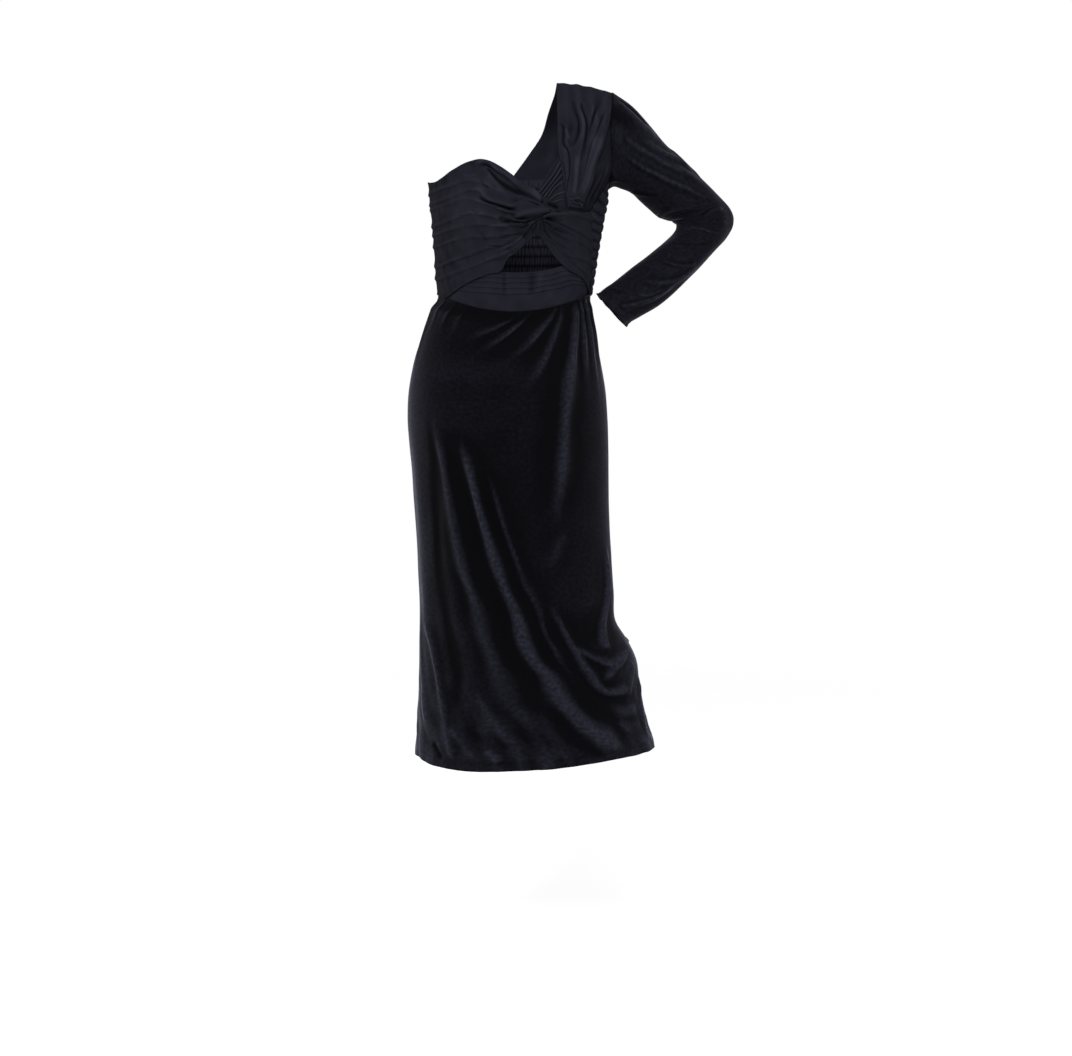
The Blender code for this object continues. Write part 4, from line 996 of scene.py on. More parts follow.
# Painted shade along the deep folds (rise below 0) and painted light along the lit ones (rise above 0), as shares.
BODICE_SHADES = creases("""
    .0022 -1.3 0 .12 .3 2 -.5 | -20 1.401 -18.4 1.3966 -12.6 1.3816 -7.4 1.3723 -2.2 1.3644 3 1.3599 8.4 1.355;
    .0014 -1 0 .15 .2 1.6 | -23.3 1.3615 -18.9 1.3507 -12.4 1.3424 -6 1.3379 -.1 1.3335;
    .0028 -.9 0 .15 .3 .6 -.5 | -9 1.3221 -5.2 1.3169 1.9 1.3156 9.4 1.3189 17.3 1.3276;
    .0034 -1.1 0 .2 0 1 -.5 | 18.8 1.3467 24.1 1.3415 29 1.3379;
    .0018 -.4 0 .15 .4 | 17.5 1.3232 24 1.3194 31.3 1.3197 37.7 1.3242;
    .0013 -.9 0 .06 .5 | 15.4 1.3193 20.9 1.3102 27.2 1.3038 36.6 1.3004 57.7 1.2923;
    .0013 -.9 0 .06 .5 | 15 1.3167 20.1 1.3011 25.5 1.2894 35.3 1.2778 52.4 1.2649;
    .0013 -.9 0 .06 .5 | 14.3 1.3193 10.7 1.3129 6.6 1.2985 2.4 1.2879 -4.1 1.2773;
    .0012 -.8 0 .06 .5 | 12.8 1.3154 7.4 1.3103 1.5 1.3085 -5.7 1.3137;
    .001 -.7 | 14.5 1.3141 15.7 1.3023;
    .001 -.7 | 12 1.3121 11.1 1.2984;
    .0046 .55 0 .15 0 1 -1 | 0 1.3258 2.2 1.3274 6.9 1.3313 12.2 1.333 18.2 1.3334;
    .0026 .4 0 .1 .4 | 18.4 1.3284 24.8 1.3277 34.7 1.3283 46.5 1.3263;
    .0038 .35 0 .15 | -16.8 1.3681 -9.4 1.3643 -1.1 1.3591 8.4 1.3515 18 1.3375;
    .006 .35 0 .1 0 1 -.8 | -21 1.4076 -16.8 1.4022 -8.5 1.3912 .7 1.3779 11.3 1.3609 17.6 1.3474
""")


def shades(lines: tuple[Crease, ...], across: Array, along: Array, flat: tuple[float, float]) -> Array:
    """Sum of the painted shade in the deep places and the painted light on the lit places along lines, as a share.

    Args:
        lines: Lines, each with its width and its share at the middle.
        across: First coordinate of each place.
        along: Second coordinate of each place.
        flat: Lengths along the cloth of one unit of each.

    Returns:
        Array: What to add to the cloth's painted light.
    """
    return sum(line.height(across, along, flat) for line in lines)


@dataclass
class Bodice:
    """Front of the bodice: both draped halves with their tucks, and the knot that gathers them."""

    figure: Figure
    side_shade: float = 0.62  # how much darker it lies at the wearer's right side
    side_out: float = 0.0026  # how much further it stands out there
    edge_roll: float = 0.0007  # how far its turned edges swell
    knot_angle: float = 15.2
    knot_height: float = 1.3239
    knot_flat: float = 0.133
    knot_points: int = 131
    knot_sunk: float = 0.0005  # how far its edge dips under the drapes
    knot_blend: int = 5  # how sharply one fold gives way to the next
    reach_table: Table = Table(
        "reach",
        """
        0 .038; 35 .024; 90 .022; 118 .034; 140 .045; 165 .052; 188 .055; 215 .04; 245 .028; 270 .026; 300 .027;
        330 .034; 360 .038
        """,
    )
    right_top: Table = Table(
        "angle height",
        """
        0 -95 1.3858; .15 -79 1.3822; .3 -61 1.3855; .45 -43 1.402; .58 -30 1.413; .68 -20 1.414; .76 -12.5 1.4055;
        .84 -4.5 1.3918; .91 3 1.3768; .96 10.5 1.3675; 1 15.5 1.352
        """,
    )
    right_bottom: Table = Table(
        "angle height",
        """
        0 -95 1.2026; .15 -79 1.2018; .3 -62 1.1982; .45 -43 1.2152; .58 -28.5 1.2283; .68 -17.5 1.2362;
        .76 -9.5 1.24; .84 -5 1.2595; .91 2 1.272; .96 8 1.2862; 1 13.5 1.2985
        """,
    )
    left_top: Table = Table("angle height", "0 17 1.344; .15 24 1.3365; .45 38 1.3345; .75 49 1.333; 1 57.7 1.3345")
    left_bottom: Table = Table(
        "angle height",
        """
        0 15 1.299; .15 20.3 1.2848; .35 29.5 1.262; .5 39.5 1.2458; .75 61 1.2285; 1 83.7 1.2029
        """,
    )

    def share(self, angle: Array, height: Array) -> Array:
        """Distance from the knot's centre, as a share of its reach that way."""
        right, up = np.radians(angle - self.knot_angle) * self.knot_flat, height - self.knot_height
        return np.hypot(right, up) / self.reach(right, up)

    def reach(self, right: Array, up: Array) -> Array:
        """How far the knot reaches from its centre in a direction."""
        return self.reach_table.at("reach", np.degrees(np.arctan2(up, right)) % 360)

    def surface(self, angle: Array, height: Array) -> Array:
        """Height of the drapes' tucks and folds, calm under the knot.

        Args:
            angle: Degrees round the figure.
            height: Height above the floor.

        Returns:
            Array: Heights over the plain drape.
        """
        relief = Relief(TUCKS + BODICE_FOLDS, FLAT, Ripple(21, 0.00045, 0.010, 0.034, 24))
        return relief.height(angle, height) * soft_step(self.share(angle, height), 0.3, 0.95)

    def drape(
        self, name: str, bottom: Table, top: Table, size: tuple[float, float], rows: int, columns: int
    ) -> bpy.types.Object:
        """Make one draped half.

        Args:
            name: The panel's name.
            bottom: Its lower edge.
            top: Its upper edge.
            size: Its width and length.
            rows: Points up it.
            columns: Points across it.

        Returns:
            bpy.types.Object: The panel.
        """
        across, up = np.meshgrid(np.linspace(0, 1, columns), np.linspace(0, 1, rows))
        angle = mix(bottom.at("angle", across), top.at("angle", across), up)
        height = mix(bottom.at("height", across), top.at("height", across), up)
        edge = self.edge_roll * (bell(up * size[1], 0, 0.003) + bell((1 - up) * size[1], 0, 0.003))
        raised = np.maximum(self.surface(angle, height) + edge, -0.0008)
        side = DRAPE_IN + self.side_out * bell(angle, -95, 13)
        inner = self.figure.torso(angle, height, side)
        # Painted shade in the deep folds and painted light on the lit ones, with painted shade at the wearer's right
        # side.
        shade = shades(BODICE_SHADES, angle, height, FLAT) - self.side_shade * soft_step(-angle, 30.0, 62.0)
        return Shell(name, self.figure.torso(angle, height, side + WALL + raised), size, inner, shade=shade).build()

    def knot(self) -> bpy.types.Object:
        """Make the twisted knot, whose folds flow into the drapes on both sides.

        Returns:
            bpy.types.Object: The knot.
        """
        side = np.linspace(-1, 1, self.knot_points)
        right, up = np.meshgrid(side, side)
        across, along = right * np.sqrt(1 - up**2 / 2), up * np.sqrt(1 - right**2 / 2)
        reach = self.reach(across, along)
        angle = self.knot_angle + np.degrees(across * reach / self.knot_flat)
        height = self.knot_height + along * reach
        flat = (self.knot_flat * math.radians(1), 1.0)
        heights = np.array([np.maximum(fold.height(angle, height, flat), 0) for fold in KNOT_FOLDS])
        blended = (heights**self.knot_blend).sum(axis=0) ** (1 / self.knot_blend)
        share = np.hypot(across, along)
        lift = (blended + 0.0045) * (1 - soft_step(share, 0.52, 1.0)) - self.knot_sunk * soft_step(share, 0.8, 1.0)
        base = DRAPE_IN + WALL + self.surface(angle, height)
        outer = self.figure.torso(angle, height, base + lift)
        inner = self.figure.torso(angle, height, base + lift * 0.55 - WALL)
        # The same painted shade and light of the folds, over the knot.
        shade = shades(BODICE_SHADES, angle, height, flat)
        return Shell("twist_knot_cloth", outer, (0.11, 0.06), inner, lie_depth=0.0056, shade=shade).build()

    def build(self, wardrobe: Wardrobe) -> None:
        """Make and hang the three pieces.

        Args:
            wardrobe: What dresses them.
        """
        piece = self.drape("right_front_drape_cloth", self.right_bottom, self.right_top, (0.27, 0.18), 240, 120)
        wardrobe.hang(piece, "right_front_drape", "satin")
        piece = self.drape("left_front_drape_cloth", self.left_bottom, self.left_top, (0.14, 0.10), 190, 110)
        wardrobe.hang(piece, "left_front_drape", "satin")
        wardrobe.hang(self.knot(), "twist_knot", "satin")


CUP_GATHERS = creases("""
    .0022 .0032 .3 .08 .3 | 13.2 1.359 17.1 1.3727 21.2 1.3864 25.4 1.4046 27.5 1.418;
    .0022 .0032 .3 .08 .3 | 15 1.355 19.1 1.3698 23.3 1.3837 27.2 1.3999 30 1.412;
    .0022 .003 .3 .08 .3 | 17 1.352 20.4 1.3657 24.3 1.3782 28.3 1.3902 32 1.401;
    .0022 .003 .3 .08 .3 | 20 1.353 22.4 1.3645 25.6 1.3729 29.2 1.3785 33 1.384;
    .0022 .0028 .3 .08 .3 | 21.5 1.35 25 1.3577 30 1.3621 34 1.364;
    .002 .0024 .3 .08 .3 | 24 1.3455 28 1.35 33 1.351;
    .005 .0012 | 52 1.342 56 1.37 58 1.4;
    .005 .0012 | 60 1.35 62 1.38 63 1.42
""")


@dataclass
class Cup:
    """Plain left cup under the strap, gathered into the knot."""

    figure: Figure
    side_shade: float = 0.40  # how much darker it lies beside the strap
    top: Table = Table(
        "angle height", "0 12.5 1.36; .12 16.6 1.383; .28 22.5 1.409; .5 36 1.445; .75 50 1.468; 1 62 1.485"
    )
    bottom: Table = Table("angle height", "0 15 1.32; .5 36 1.318; 1 57.7 1.3352")
    side: Table = Table("angle height", "0 57.7 1.3352; .42 75 1.385; .55 72 1.405; .75 66 1.435; 1 62 1.485")

    def build(self, wardrobe: Wardrobe) -> None:
        """Make and hang the cup.

        Args:
            wardrobe: What dresses it.
        """
        across, up = np.meshgrid(np.linspace(0, 1, 100), np.linspace(0, 1, 96))
        places = []
        for column in ("angle", "height"):
            low, high = self.bottom.at(column, across), self.top.at(column, across)
            near, far = mix(low[0, 0], high[0, 0], up), self.side.at(column, up)
            if column == "angle":
                height = self.side.at("height", up)
                far = np.where(height < SMOCK_TOP_FRONT, self.figure.side_seam(height) - SEAM_ANGLE, far)
            bottom, top = mix(low[0, 0], low[0, -1], across), mix(high[0, 0], high[0, -1], across)
            places.append(mix(low, high, up) + mix(near, far, across) - mix(bottom, top, up))
        relief = Relief(CUP_GATHERS, FLAT, Ripple(31, 0.0002, 0.014, 0.05))
        most = mix(0.0034, 0.0016, soft_step(places[0], 24.0, 29.0))  # lower where it goes on under the strap
        raised = np.clip(relief.height(*places), -0.0003, most)
        # Painted shade in the deep folds and beside the strap, then painted highlights on the gathers' ridges with
        # painted shade between them.
        shade = shades(BODICE_SHADES, *places, FLAT) - self.side_shade * soft_step(places[0], 42.0, 50.0)
        shade = shade + 0.7 * np.clip(raised, 0, 1) / 0.0034 - 0.2
        outer = self.figure.torso(*places, BASE_OUT + raised)
        piece = Shell("left_front_cup_cloth", outer, (0.12, 0.15), shade=shade).build()
        wardrobe.hang(piece, "left_front_cup", "satin")


BAND_CREASES = creases("""
    .0044 -.0004 | -7.3 1.242 -7.1 1.2214 -7 1.198;
    .0076 -.0004 | 12.8 1.242 13.3 1.2214 12.4 1.198;
    .006 .0004 | 19 1.242 19.5 1.2214 18.5 1.198
""")


@dataclass
class Waistband:
    """Front band: four lapped tucks over a plain foot."""

    figure: Figure
    rise: float = 0.0015
    belly: float = 0.0008
    crease_shade: float = 900  # painted shade in a crease's trough and painted light on its ridge, for each metre of its height
    wander: float = 0.012  # how far the tucks' edges stray, as a share of the band's height
    tucks: tuple[tuple[float, float, float], ...] = (  # share up the band at its right end, middle and left end
        (0.46, 0.445, 0.47), (0.60, 0.590, 0.585), (0.72, 0.735, 0.73), (0.87, 0.855, 0.87)
    )
    top: Table = Table(
        "angle height",
        """
        0 -95 1.23; .25 -60 1.237; .45 -28 1.2405; .55 -9.5 1.2387; .67 10 1.2387; .78 28 1.2436; .85 40 1.249;
        .93 58 1.24; 1 78 1.22
        """,
    )

    def build(self, wardrobe: Wardrobe) -> None:
        """Make and hang the band.

        Args:
            wardrobe: What dresses it.
        """
        across, up = np.meshgrid(np.linspace(0, 1, 180), np.linspace(0, 1, 100))
        foot = mix(-95.0, SEAM_FOOT[0] - 2 * SEAM_ANGLE, across)
        angle = mix(foot, self.top.at("angle", across), up)
        height = mix(self.figure.waist(foot) + SEAM, self.top.at("height", across), up)
        raised = self.belly * np.sin(math.pi * np.clip(up / self.tucks[0][1], 0, 1)) ** 1.5
        edges = []
        for number, stations in enumerate(self.tucks):
            stray = self.wander * np.sin((37 + 5 * number) * across + 2.1 * number) * np.sin(11 * across + number)
            edges.append(np.interp(across, (0, 0.5, 1), stations) + stray)
        edges.append(1.12 + 0 * across)
        for edge, after in zip(edges, edges[1:]):
            part = (up - edge) / (after - edge)
            raised = raised + self.rise * soft_step(part, -0.06, 0.06) * (1 - np.clip(part, 0, 1)) ** 0.8 * (part < 1)
        relief = Relief(BAND_CREASES, FLAT, Ripple(41, 0.00028, 0.010, 0.035)).height(angle, height)
        outer = self.figure.torso(angle, height, BASE_OUT + np.maximum(raised + relief, -0.0004))
        # Painted shade along the soft vertical folds and painted light on the ridge beside them.
        shade = self.crease_shade * shades(BAND_CREASES, angle, height, FLAT)
        inner = self.figure.torso(angle, height, 0.0)
        piece = Shell("front_waistband_cloth", outer, (0.40, 0.05), inner, shade=shade).build()
        wardrobe.hang(piece, "front_waistband", "satin")


# Strap, with places as a share across it and the number of its section

STRAP_CREASES = creases("""
    .003 -.0044 0 .15 0 1 .3 | .28 7.4 .305 6.75 .355 6.2 .385 5.62 .39 4.98 .34 4.45 .235 4.12;
    .0032 -.0056 0 .15 .2 1.3 .3 | .435 7.2 .45 6.75 .495 6.25 .54 5.6 .565 4.88 .56 4.35 .55 3.75 .5 3.1;
    .003 -.0048 0 .15 .3 1 .3 | .75 8.3 .745 7.15 .655 6.38 .595 5.43 .605 4.65;
    .0026 -.0022 0 .15 .4 | .905 6.9 .795 6.08 .75 4.98 .68 4.08 .675 3.2 .65 2.48 .55 1.6;
    .0024 -.0028 0 .12 | .045 5.95 .115 5.38 .105 4.45 .195 3.9 .23 3.48 .215 2.9 .11 2.05 .015 1.25;
    .004 .0016 0 .25 | .125 5.62 .165 5.1 .235 4.48;
    .006 .0026 0 .15 | .12 2.2 .15 3.5 .17 6.3 .12 9.4;
    .007 .0036 0 .15 | .36 1.2 .42 3.2 .47 5.2 .38 7.4 .36 9.4;
    .0066 .0034 0 .15 | .6 1.2 .7 3.4 .72 5.2 .62 7.2 .6 9.4;
    .0055 .0026 0 .15 | .86 2.4 .9 4.2 .86 6 .88 9.4;
    .0028 .002 0 .25 | .06 .95 .35 .9 .72 1.1;
    .0028 .0022 0 .2 | .08 .8 .2 .3 .26 -.1;
    .0026 .0018 0 .2 | .2 .75 .55 .45 1 .25;
    .0018 -.002 0 .2 | .26 1.02 .51 .68 .84 0;
    .0018 -.0018 0 .2 | .4 1.05 .795 .66 1.05 .52
""")
# Painted shade along the strap's grooves (rise below 0) and painted light along its lit folds (rise above 0), as
# shares.
STRAP_SHADES = creases("""
    .0012 -.8 0 .3 | .28 7.6 .305 6.75 .355 6.2 .385 5.62 .39 4.98 .34 4.45 .235 4.12;
    .001 -1 0 .3 .15 2.6 | .435 7.4 .45 6.75 .495 6.25 .54 5.6 .565 4.88 .56 4.35 .55 3.75 .505 3.18;
    .001 -.7 0 .3 | .75 8.3 .745 7.15 .655 6.38 .595 5.43 .605 4.65;
    .0008 -.6 0 .15 .4 | .905 6.9 .795 6.08 .75 4.98 .68 4.08 .675 3.2 .65 2.48 .55 1.58;
    .001 -.8 0 .12 | .045 5.95 .115 5.38 .105 4.45 .195 3.9 .23 3.48 .215 2.9 .11 2.05 .015 1.25;
    .0012 -.8 | 0 3.5 .065 3.2 .045 2.4 0 1.2;
    .008 -.4 0 .3 | .1 6.3 .195 5.65 .275 5;
    .003 .6 0 .25 | .125 5.62 .165 5.1 .235 4.48;
    .011 1.1 0 .2 0 1 -1.5 | .8 5.2 .82 3 .66 1.1;
    .007 .8 0 .2 0 1 -1.5 | .42 3.8 .38 2.4 .3 1.1;
    .003 .4 0 .25 | .08 4.3 .1 3.4 .12 2.7;
    .0022 .5 0 .2 | .42 6.9 .46 6.1 .48 5.2 .46 4.4;
    .0014 -.9 | .02 1.2 .03 .75 0 .1;
    .0012 -1 0 .15 | .24 1.02 .51 .68 .84 0;
    .0012 -.9 0 .15 | .34 1.05 .795 .62 1.05 .5;
    .0018 .7 0 .2 | .07 .78 .35 .88 .675 1.05;
    .0022 .6 0 .2 | .06 .65 .205 .12
""")


@dataclass
class Strap:
    """Draped shoulder strap in front, and the plain panel that carries it down the back."""

    figure: Figure
    crossings: tuple[tuple[float, ...], ...] = numbers(  # neck angle and height, arm angle and height
        """
        34.5 1.34 47.5 1.3395; 32.7 1.3537 49.2 1.3556; 30.3 1.374 50.8 1.3791; 27.5 1.3977 51.1 1.4125;
        25 1.4295 55.2 1.4379; 24.1 1.4533 57.5 1.46; 23.7 1.475 59.8 1.4796
        """
    )
    spans: tuple[tuple[float, ...], ...] = numbers(  # neck point and arm point over the shoulder
        """
        .0655 -.056 1.503 .1541 -.04 1.498; .065 -.03 1.527 .1557 -.021 1.515; .0655 .005 1.544 .1562 .005 1.528;
        .062 .04 1.529 .1553 .033 1.516; .052 .072 1.503 .1525 .052 1.496
        """
    )
    back_crossings: tuple[tuple[float, ...], ...] = numbers("166 1.47 118 1.468; 175 1.435 116 1.43")
    foot: tuple[float, float] = (187.0, 112.0)
    foot_lap: float = 0.0026  # how far its foot laps over the smocked panel
    crown: float = 0.003
    most: float = 0.0042  # height that its folds level out at
    least: float = -0.0009  # the deepest that a trough goes
    seam_at: int = 9  # number of the section at the shoulder seam
    seam_half: float = -0.006  # so that the two stretches lap a little there
    flat: tuple[float, float] = (0.075, 0.021)  # width, and the distance between sections

    def lines(self, across: Array) -> Array:
        """The strap's sections.

        Args:
            across: Shares across the strap.

        Returns:
            Array: A line of points for each section.
        """

        def lying(row: tuple[float, ...]) -> Array:
            """One section on the torso."""
            return self.figure.torso(mix(row[0], row[2], across), mix(row[1], row[3], across), DRAPE_IN + WALL)

        found = [lying(row) for row in self.crossings]
        for span in self.spans:
            line = mix(np.array(span[:3]), np.array(span[3:]), across[:, None])
            line[:, 2] += self.crown * np.sin(math.pi * across)
            found.append(line)
        found += [lying(row) for row in self.back_crossings]
        angle = mix(self.foot[0], self.foot[1], across)
        height = SMOCK_TOP.at("height", angle) - self.foot_lap
        return np.array([*found, self.figure.torso(angle, height, SMOCK_IN + 2 * WALL - 0.0003)])

    def points(self, at: Array, across: Array) -> Array:
        """Points of the outer face.

        Args:
            at: Section places along the strap.
            across: Shares across it.

        Returns:
            Array: Points, with X, Y and Z last.
        """
        lines = self.lines(across)
        low = np.clip(at.astype(int), 0, len(lines) - 2)
        slopes = np.gradient(lines, axis=0)
        part = (at - low)[:, None, None]
        bend = mix(lines[low], lines[low + 1], part * part * (3 - 2 * part))
        return bend + part * (1 - part) ** 2 * slopes[low] + part * part * (part - 1) * slopes[low + 1]

    def panel(
        self, name: str, first: float, last: float, grid: tuple[int, int], relief: Relief, size: tuple[float, float]
    ) -> bpy.types.Object:
        """Make one stretch of the strap.

        Args:
            name: The panel's name.
            first: Section place where it starts.
            last: Section place where it ends.
            grid: Points along and across it.
            relief: Its creases.
            size: Its width and length.

        Returns:
            bpy.types.Object: The panel.
        """
        at, across = np.linspace(first, last, grid[0]), np.linspace(0, 1, grid[1])
        right = self.points(at, across + 0.01) - self.points(at, across - 0.01)
        onward = self.points(at + 0.01, across) - self.points(at - 0.01, across)
        outward = np.cross(right, onward)
        outward /= np.linalg.norm(outward, axis=-1, keepdims=True)
        face = self.points(at, across)
        raised = relief.height(*np.meshgrid(across, at))
        raised = self.most * np.tanh(np.maximum(raised, self.least) / self.most)
        # Painted shade in the strap's grooves and painted light on its lit folds.
        shade = shades(STRAP_SHADES, *np.meshgrid(across, at), self.flat)
        return Shell(name, face + raised[..., None] * outward, size, face - WALL * outward, shade=shade).build()

    def build(self, wardrobe: Wardrobe) -> None:
        """Make and hang both stretches.

        Args:
            wardrobe: What dresses them.
        """
        folds = Relief(STRAP_CREASES, self.flat, Ripple(51, 0.0003, 0.012, 0.04))
        piece = self.panel("shoulder_drape_cloth", 0, self.seam_at - self.seam_half, (190, 110), folds, (0.08, 0.22))
        wardrobe.hang(piece, "shoulder_drape", "satin")
        plain = creases(".006 .0012 | .15 10 .2 12 .3 13.6; .006 .0012 | .85 10 .8 11.6 .66 13.4")
        plain_relief = Relief(plain + STRAP_CREASES, self.flat, Ripple(52, 0.0002, 0.014, 0.05))
        first = self.seam_at + self.seam_half
        piece = self.panel("back_shoulder_cloth", first, 14, (80, 60), plain_relief, (0.14, 0.18))
        wardrobe.hang(piece, "back_shoulder_panel", "satin")


@dataclass
class SmockedBack:
    """Shirred panel round the back: puffs between level rows of elastic, crinkled up and down."""

    figure: Figure
    rows: int = 12
    puff: float = 0.0013
    crinkle: float = 0.0010
    side_out: float = 0.0050  # how far it stands off the figure at the wearer's left
    pleat: float = 0.0052  # width of one crinkle
    last: float = 265.0
    lap: float = 1.2  # degrees that it goes on under the right drape
    lap_out: float = 0.0034  # how far it stands off the figure there

    def build(self, wardrobe: Wardrobe) -> None:
        """Make and hang the panel.

        Args:
            wardrobe: What dresses it.
        """
        across, up = np.meshgrid(np.linspace(0, 1, 400), np.linspace(0, 1, 6 * self.rows + 1))
        start = self.figure.side_seam(mix(SEAM_FOOT[1], SMOCK_TOP_FRONT, up)) + 2 * SEAM_ANGLE
        top_angle = mix(SMOCK_START, self.last + self.lap, across)
        angle = top_angle + (start - SMOCK_START) * (1 - across) ** 3
        top = SMOCK_TOP.at("height", top_angle)
        at_side = bell(angle, 91, 16)
        height = mix(self.figure.waist(angle) + SEAM - 0.0016 * at_side, top, up)
        swell = np.abs(np.sin(math.pi * up * self.rows)) ** 0.7
        drift = Ripple(61, 0.55, 0.02, 0.09, 14).height(angle * FLAT_ANGLE, height)
        waves = np.sin(math.tau * (angle * FLAT_ANGLE / self.pleat + drift))
        second = np.sin(math.tau * (angle * FLAT_ANGLE / self.pleat * 0.63 - drift * 1.4) + 1.3)
        at_drape = bell(angle, self.last, 10)
        puff = self.puff * (1 - 0.5 * at_side - 0.5 * at_drape)
        crinkle = self.crinkle * (1 + 0.4 * at_side - 0.5 * at_drape) * (0.7 * waves + 0.5 * second)
        raised = swell * (puff + crinkle) + (1 - swell) * 0.0002 * waves
        raised = raised * (1 - soft_step(across, 0.984, 0.996))
        off = SMOCK_IN + self.side_out * at_side * (1 - soft_step(height, 1.355, 1.374))
        off = off + self.lap_out * bell(angle - self.last, self.lap, 9)
        inner = self.figure.torso(angle, height, off)
        outer = self.figure.torso(angle, height, off + WALL + np.maximum(raised, -0.0002))
        # Painted light: lighter at the wearer's left side.
        shell = Shell("smocked_back_cloth", outer, (0.42, 0.18), inner, lie_depth=0.0007, shade=0.35 * at_side)
        wardrobe.hang(shell.build(), "smocked_back_panel", "satin")


# Sleeve, with places as a turn round the arm (0 on the shoulder, 90 in front) and a ring along it

SLEEVE_FRONT = creases("""
    .008 .0022 0 .2 0 1 .3 | 29 .35 42 .8 43 1.6 36 2.1 32 2.65;
    .005 -.0026 | 25 .45 28 1.2 25 1.9;
    .003 .0014 | 23 -.2 25 .1 26 .35;
    .0066 .0052 0 .12 .3 1.7 .6 | 78 .9 82 1.25 79 2.1 72 2.95 65 3.75 51 4.5 39 5.2 24 5.5;
    .0066 .0056 0 .12 .3 1.7 .6 | 105 .95 102 2.15 100 2.75 92 3.7 83 4.55 71 5.35 59 6.2 25 6.8;
    .0054 .0038 0 .2 0 1.5 .5 | 62 1.8 61 2.3 53 2.95 43 3.6 26 4.2 26 4.85;
    .0085 .0046 .2 .1 .5 .8 .1 | 180 6.3 137 5.9 111 6.1 91 6.4 68 6.55 36 6.8;
    .004 -.0014 0 .12 .4 | 172 6.95 137 6.6 111 6.75 68 7.05 40 7.2;
    .005 .004 0 .2 .35 1.2 .5 | 98 8.2 75 7.5 54 7.45 38 7.65;
    .004 .0038 0 .15 .35 1.2 .6 | 138 9.9 117 9.8 98 9.95 76 10.3 46 10.45;
    .0038 .003 0 .2 .4 1.2 .6 | 85 8.8 60 8.95 36 9.2;
    .005 .0034 0 .1 .5 1.3 .5 | 128 0 135 .3 140 .95 150 1.95;
    .0036 .004 0 .1 .4 1 .5 | 176 7.3 168 7.8 148 8.5 129 8.15;
    .0034 .003 0 .1 .4 1 .5 | 178 8 160 8.6 140 9.1;
    .0042 .0028 0 .2 .4 1.3 .6 | 150 11.7 110 11.75 75 11.8 40 11.1;
    .0052 .0038 0 .2 .3 1.3 .5 | 121 13.1 95 13.1 73 13.05 56 12.85 47 12.65;
    .0105 .0036 0 .2 .5 1.1 | 114 14.55 91 14.3 72 14.15 55 13.8 42 13.25 36 12.7 32 12.2;
    .0045 .0034 0 .2 0 1.2 .5 | 93 15.2 73 15 62 14.55 54 14.15;
    .0085 .0042 0 .15 .2 1 .1 | 92 16.5 79 16.05 69 15.55 58 15 52 14.45 46 13.9;
    .004 .0024 0 .25 0 1.2 .5 | 150 15.9 128 15.6 108 15.7;
    .006 .0016 | 10 3.2 8 4.2 12 5.3;
    .0045 .0028 0 .2 .3 1.4 .5 | 170 2.9 150 3.6 128 4.4 112 5.1;
    .016 .0026 0 .35 | 10 5.8 6 8 6 10 12 12.2;
    .012 .0008 0 .3 | 20 8.9 24 10.4 28 11.8 33 13 44 14.2
""")


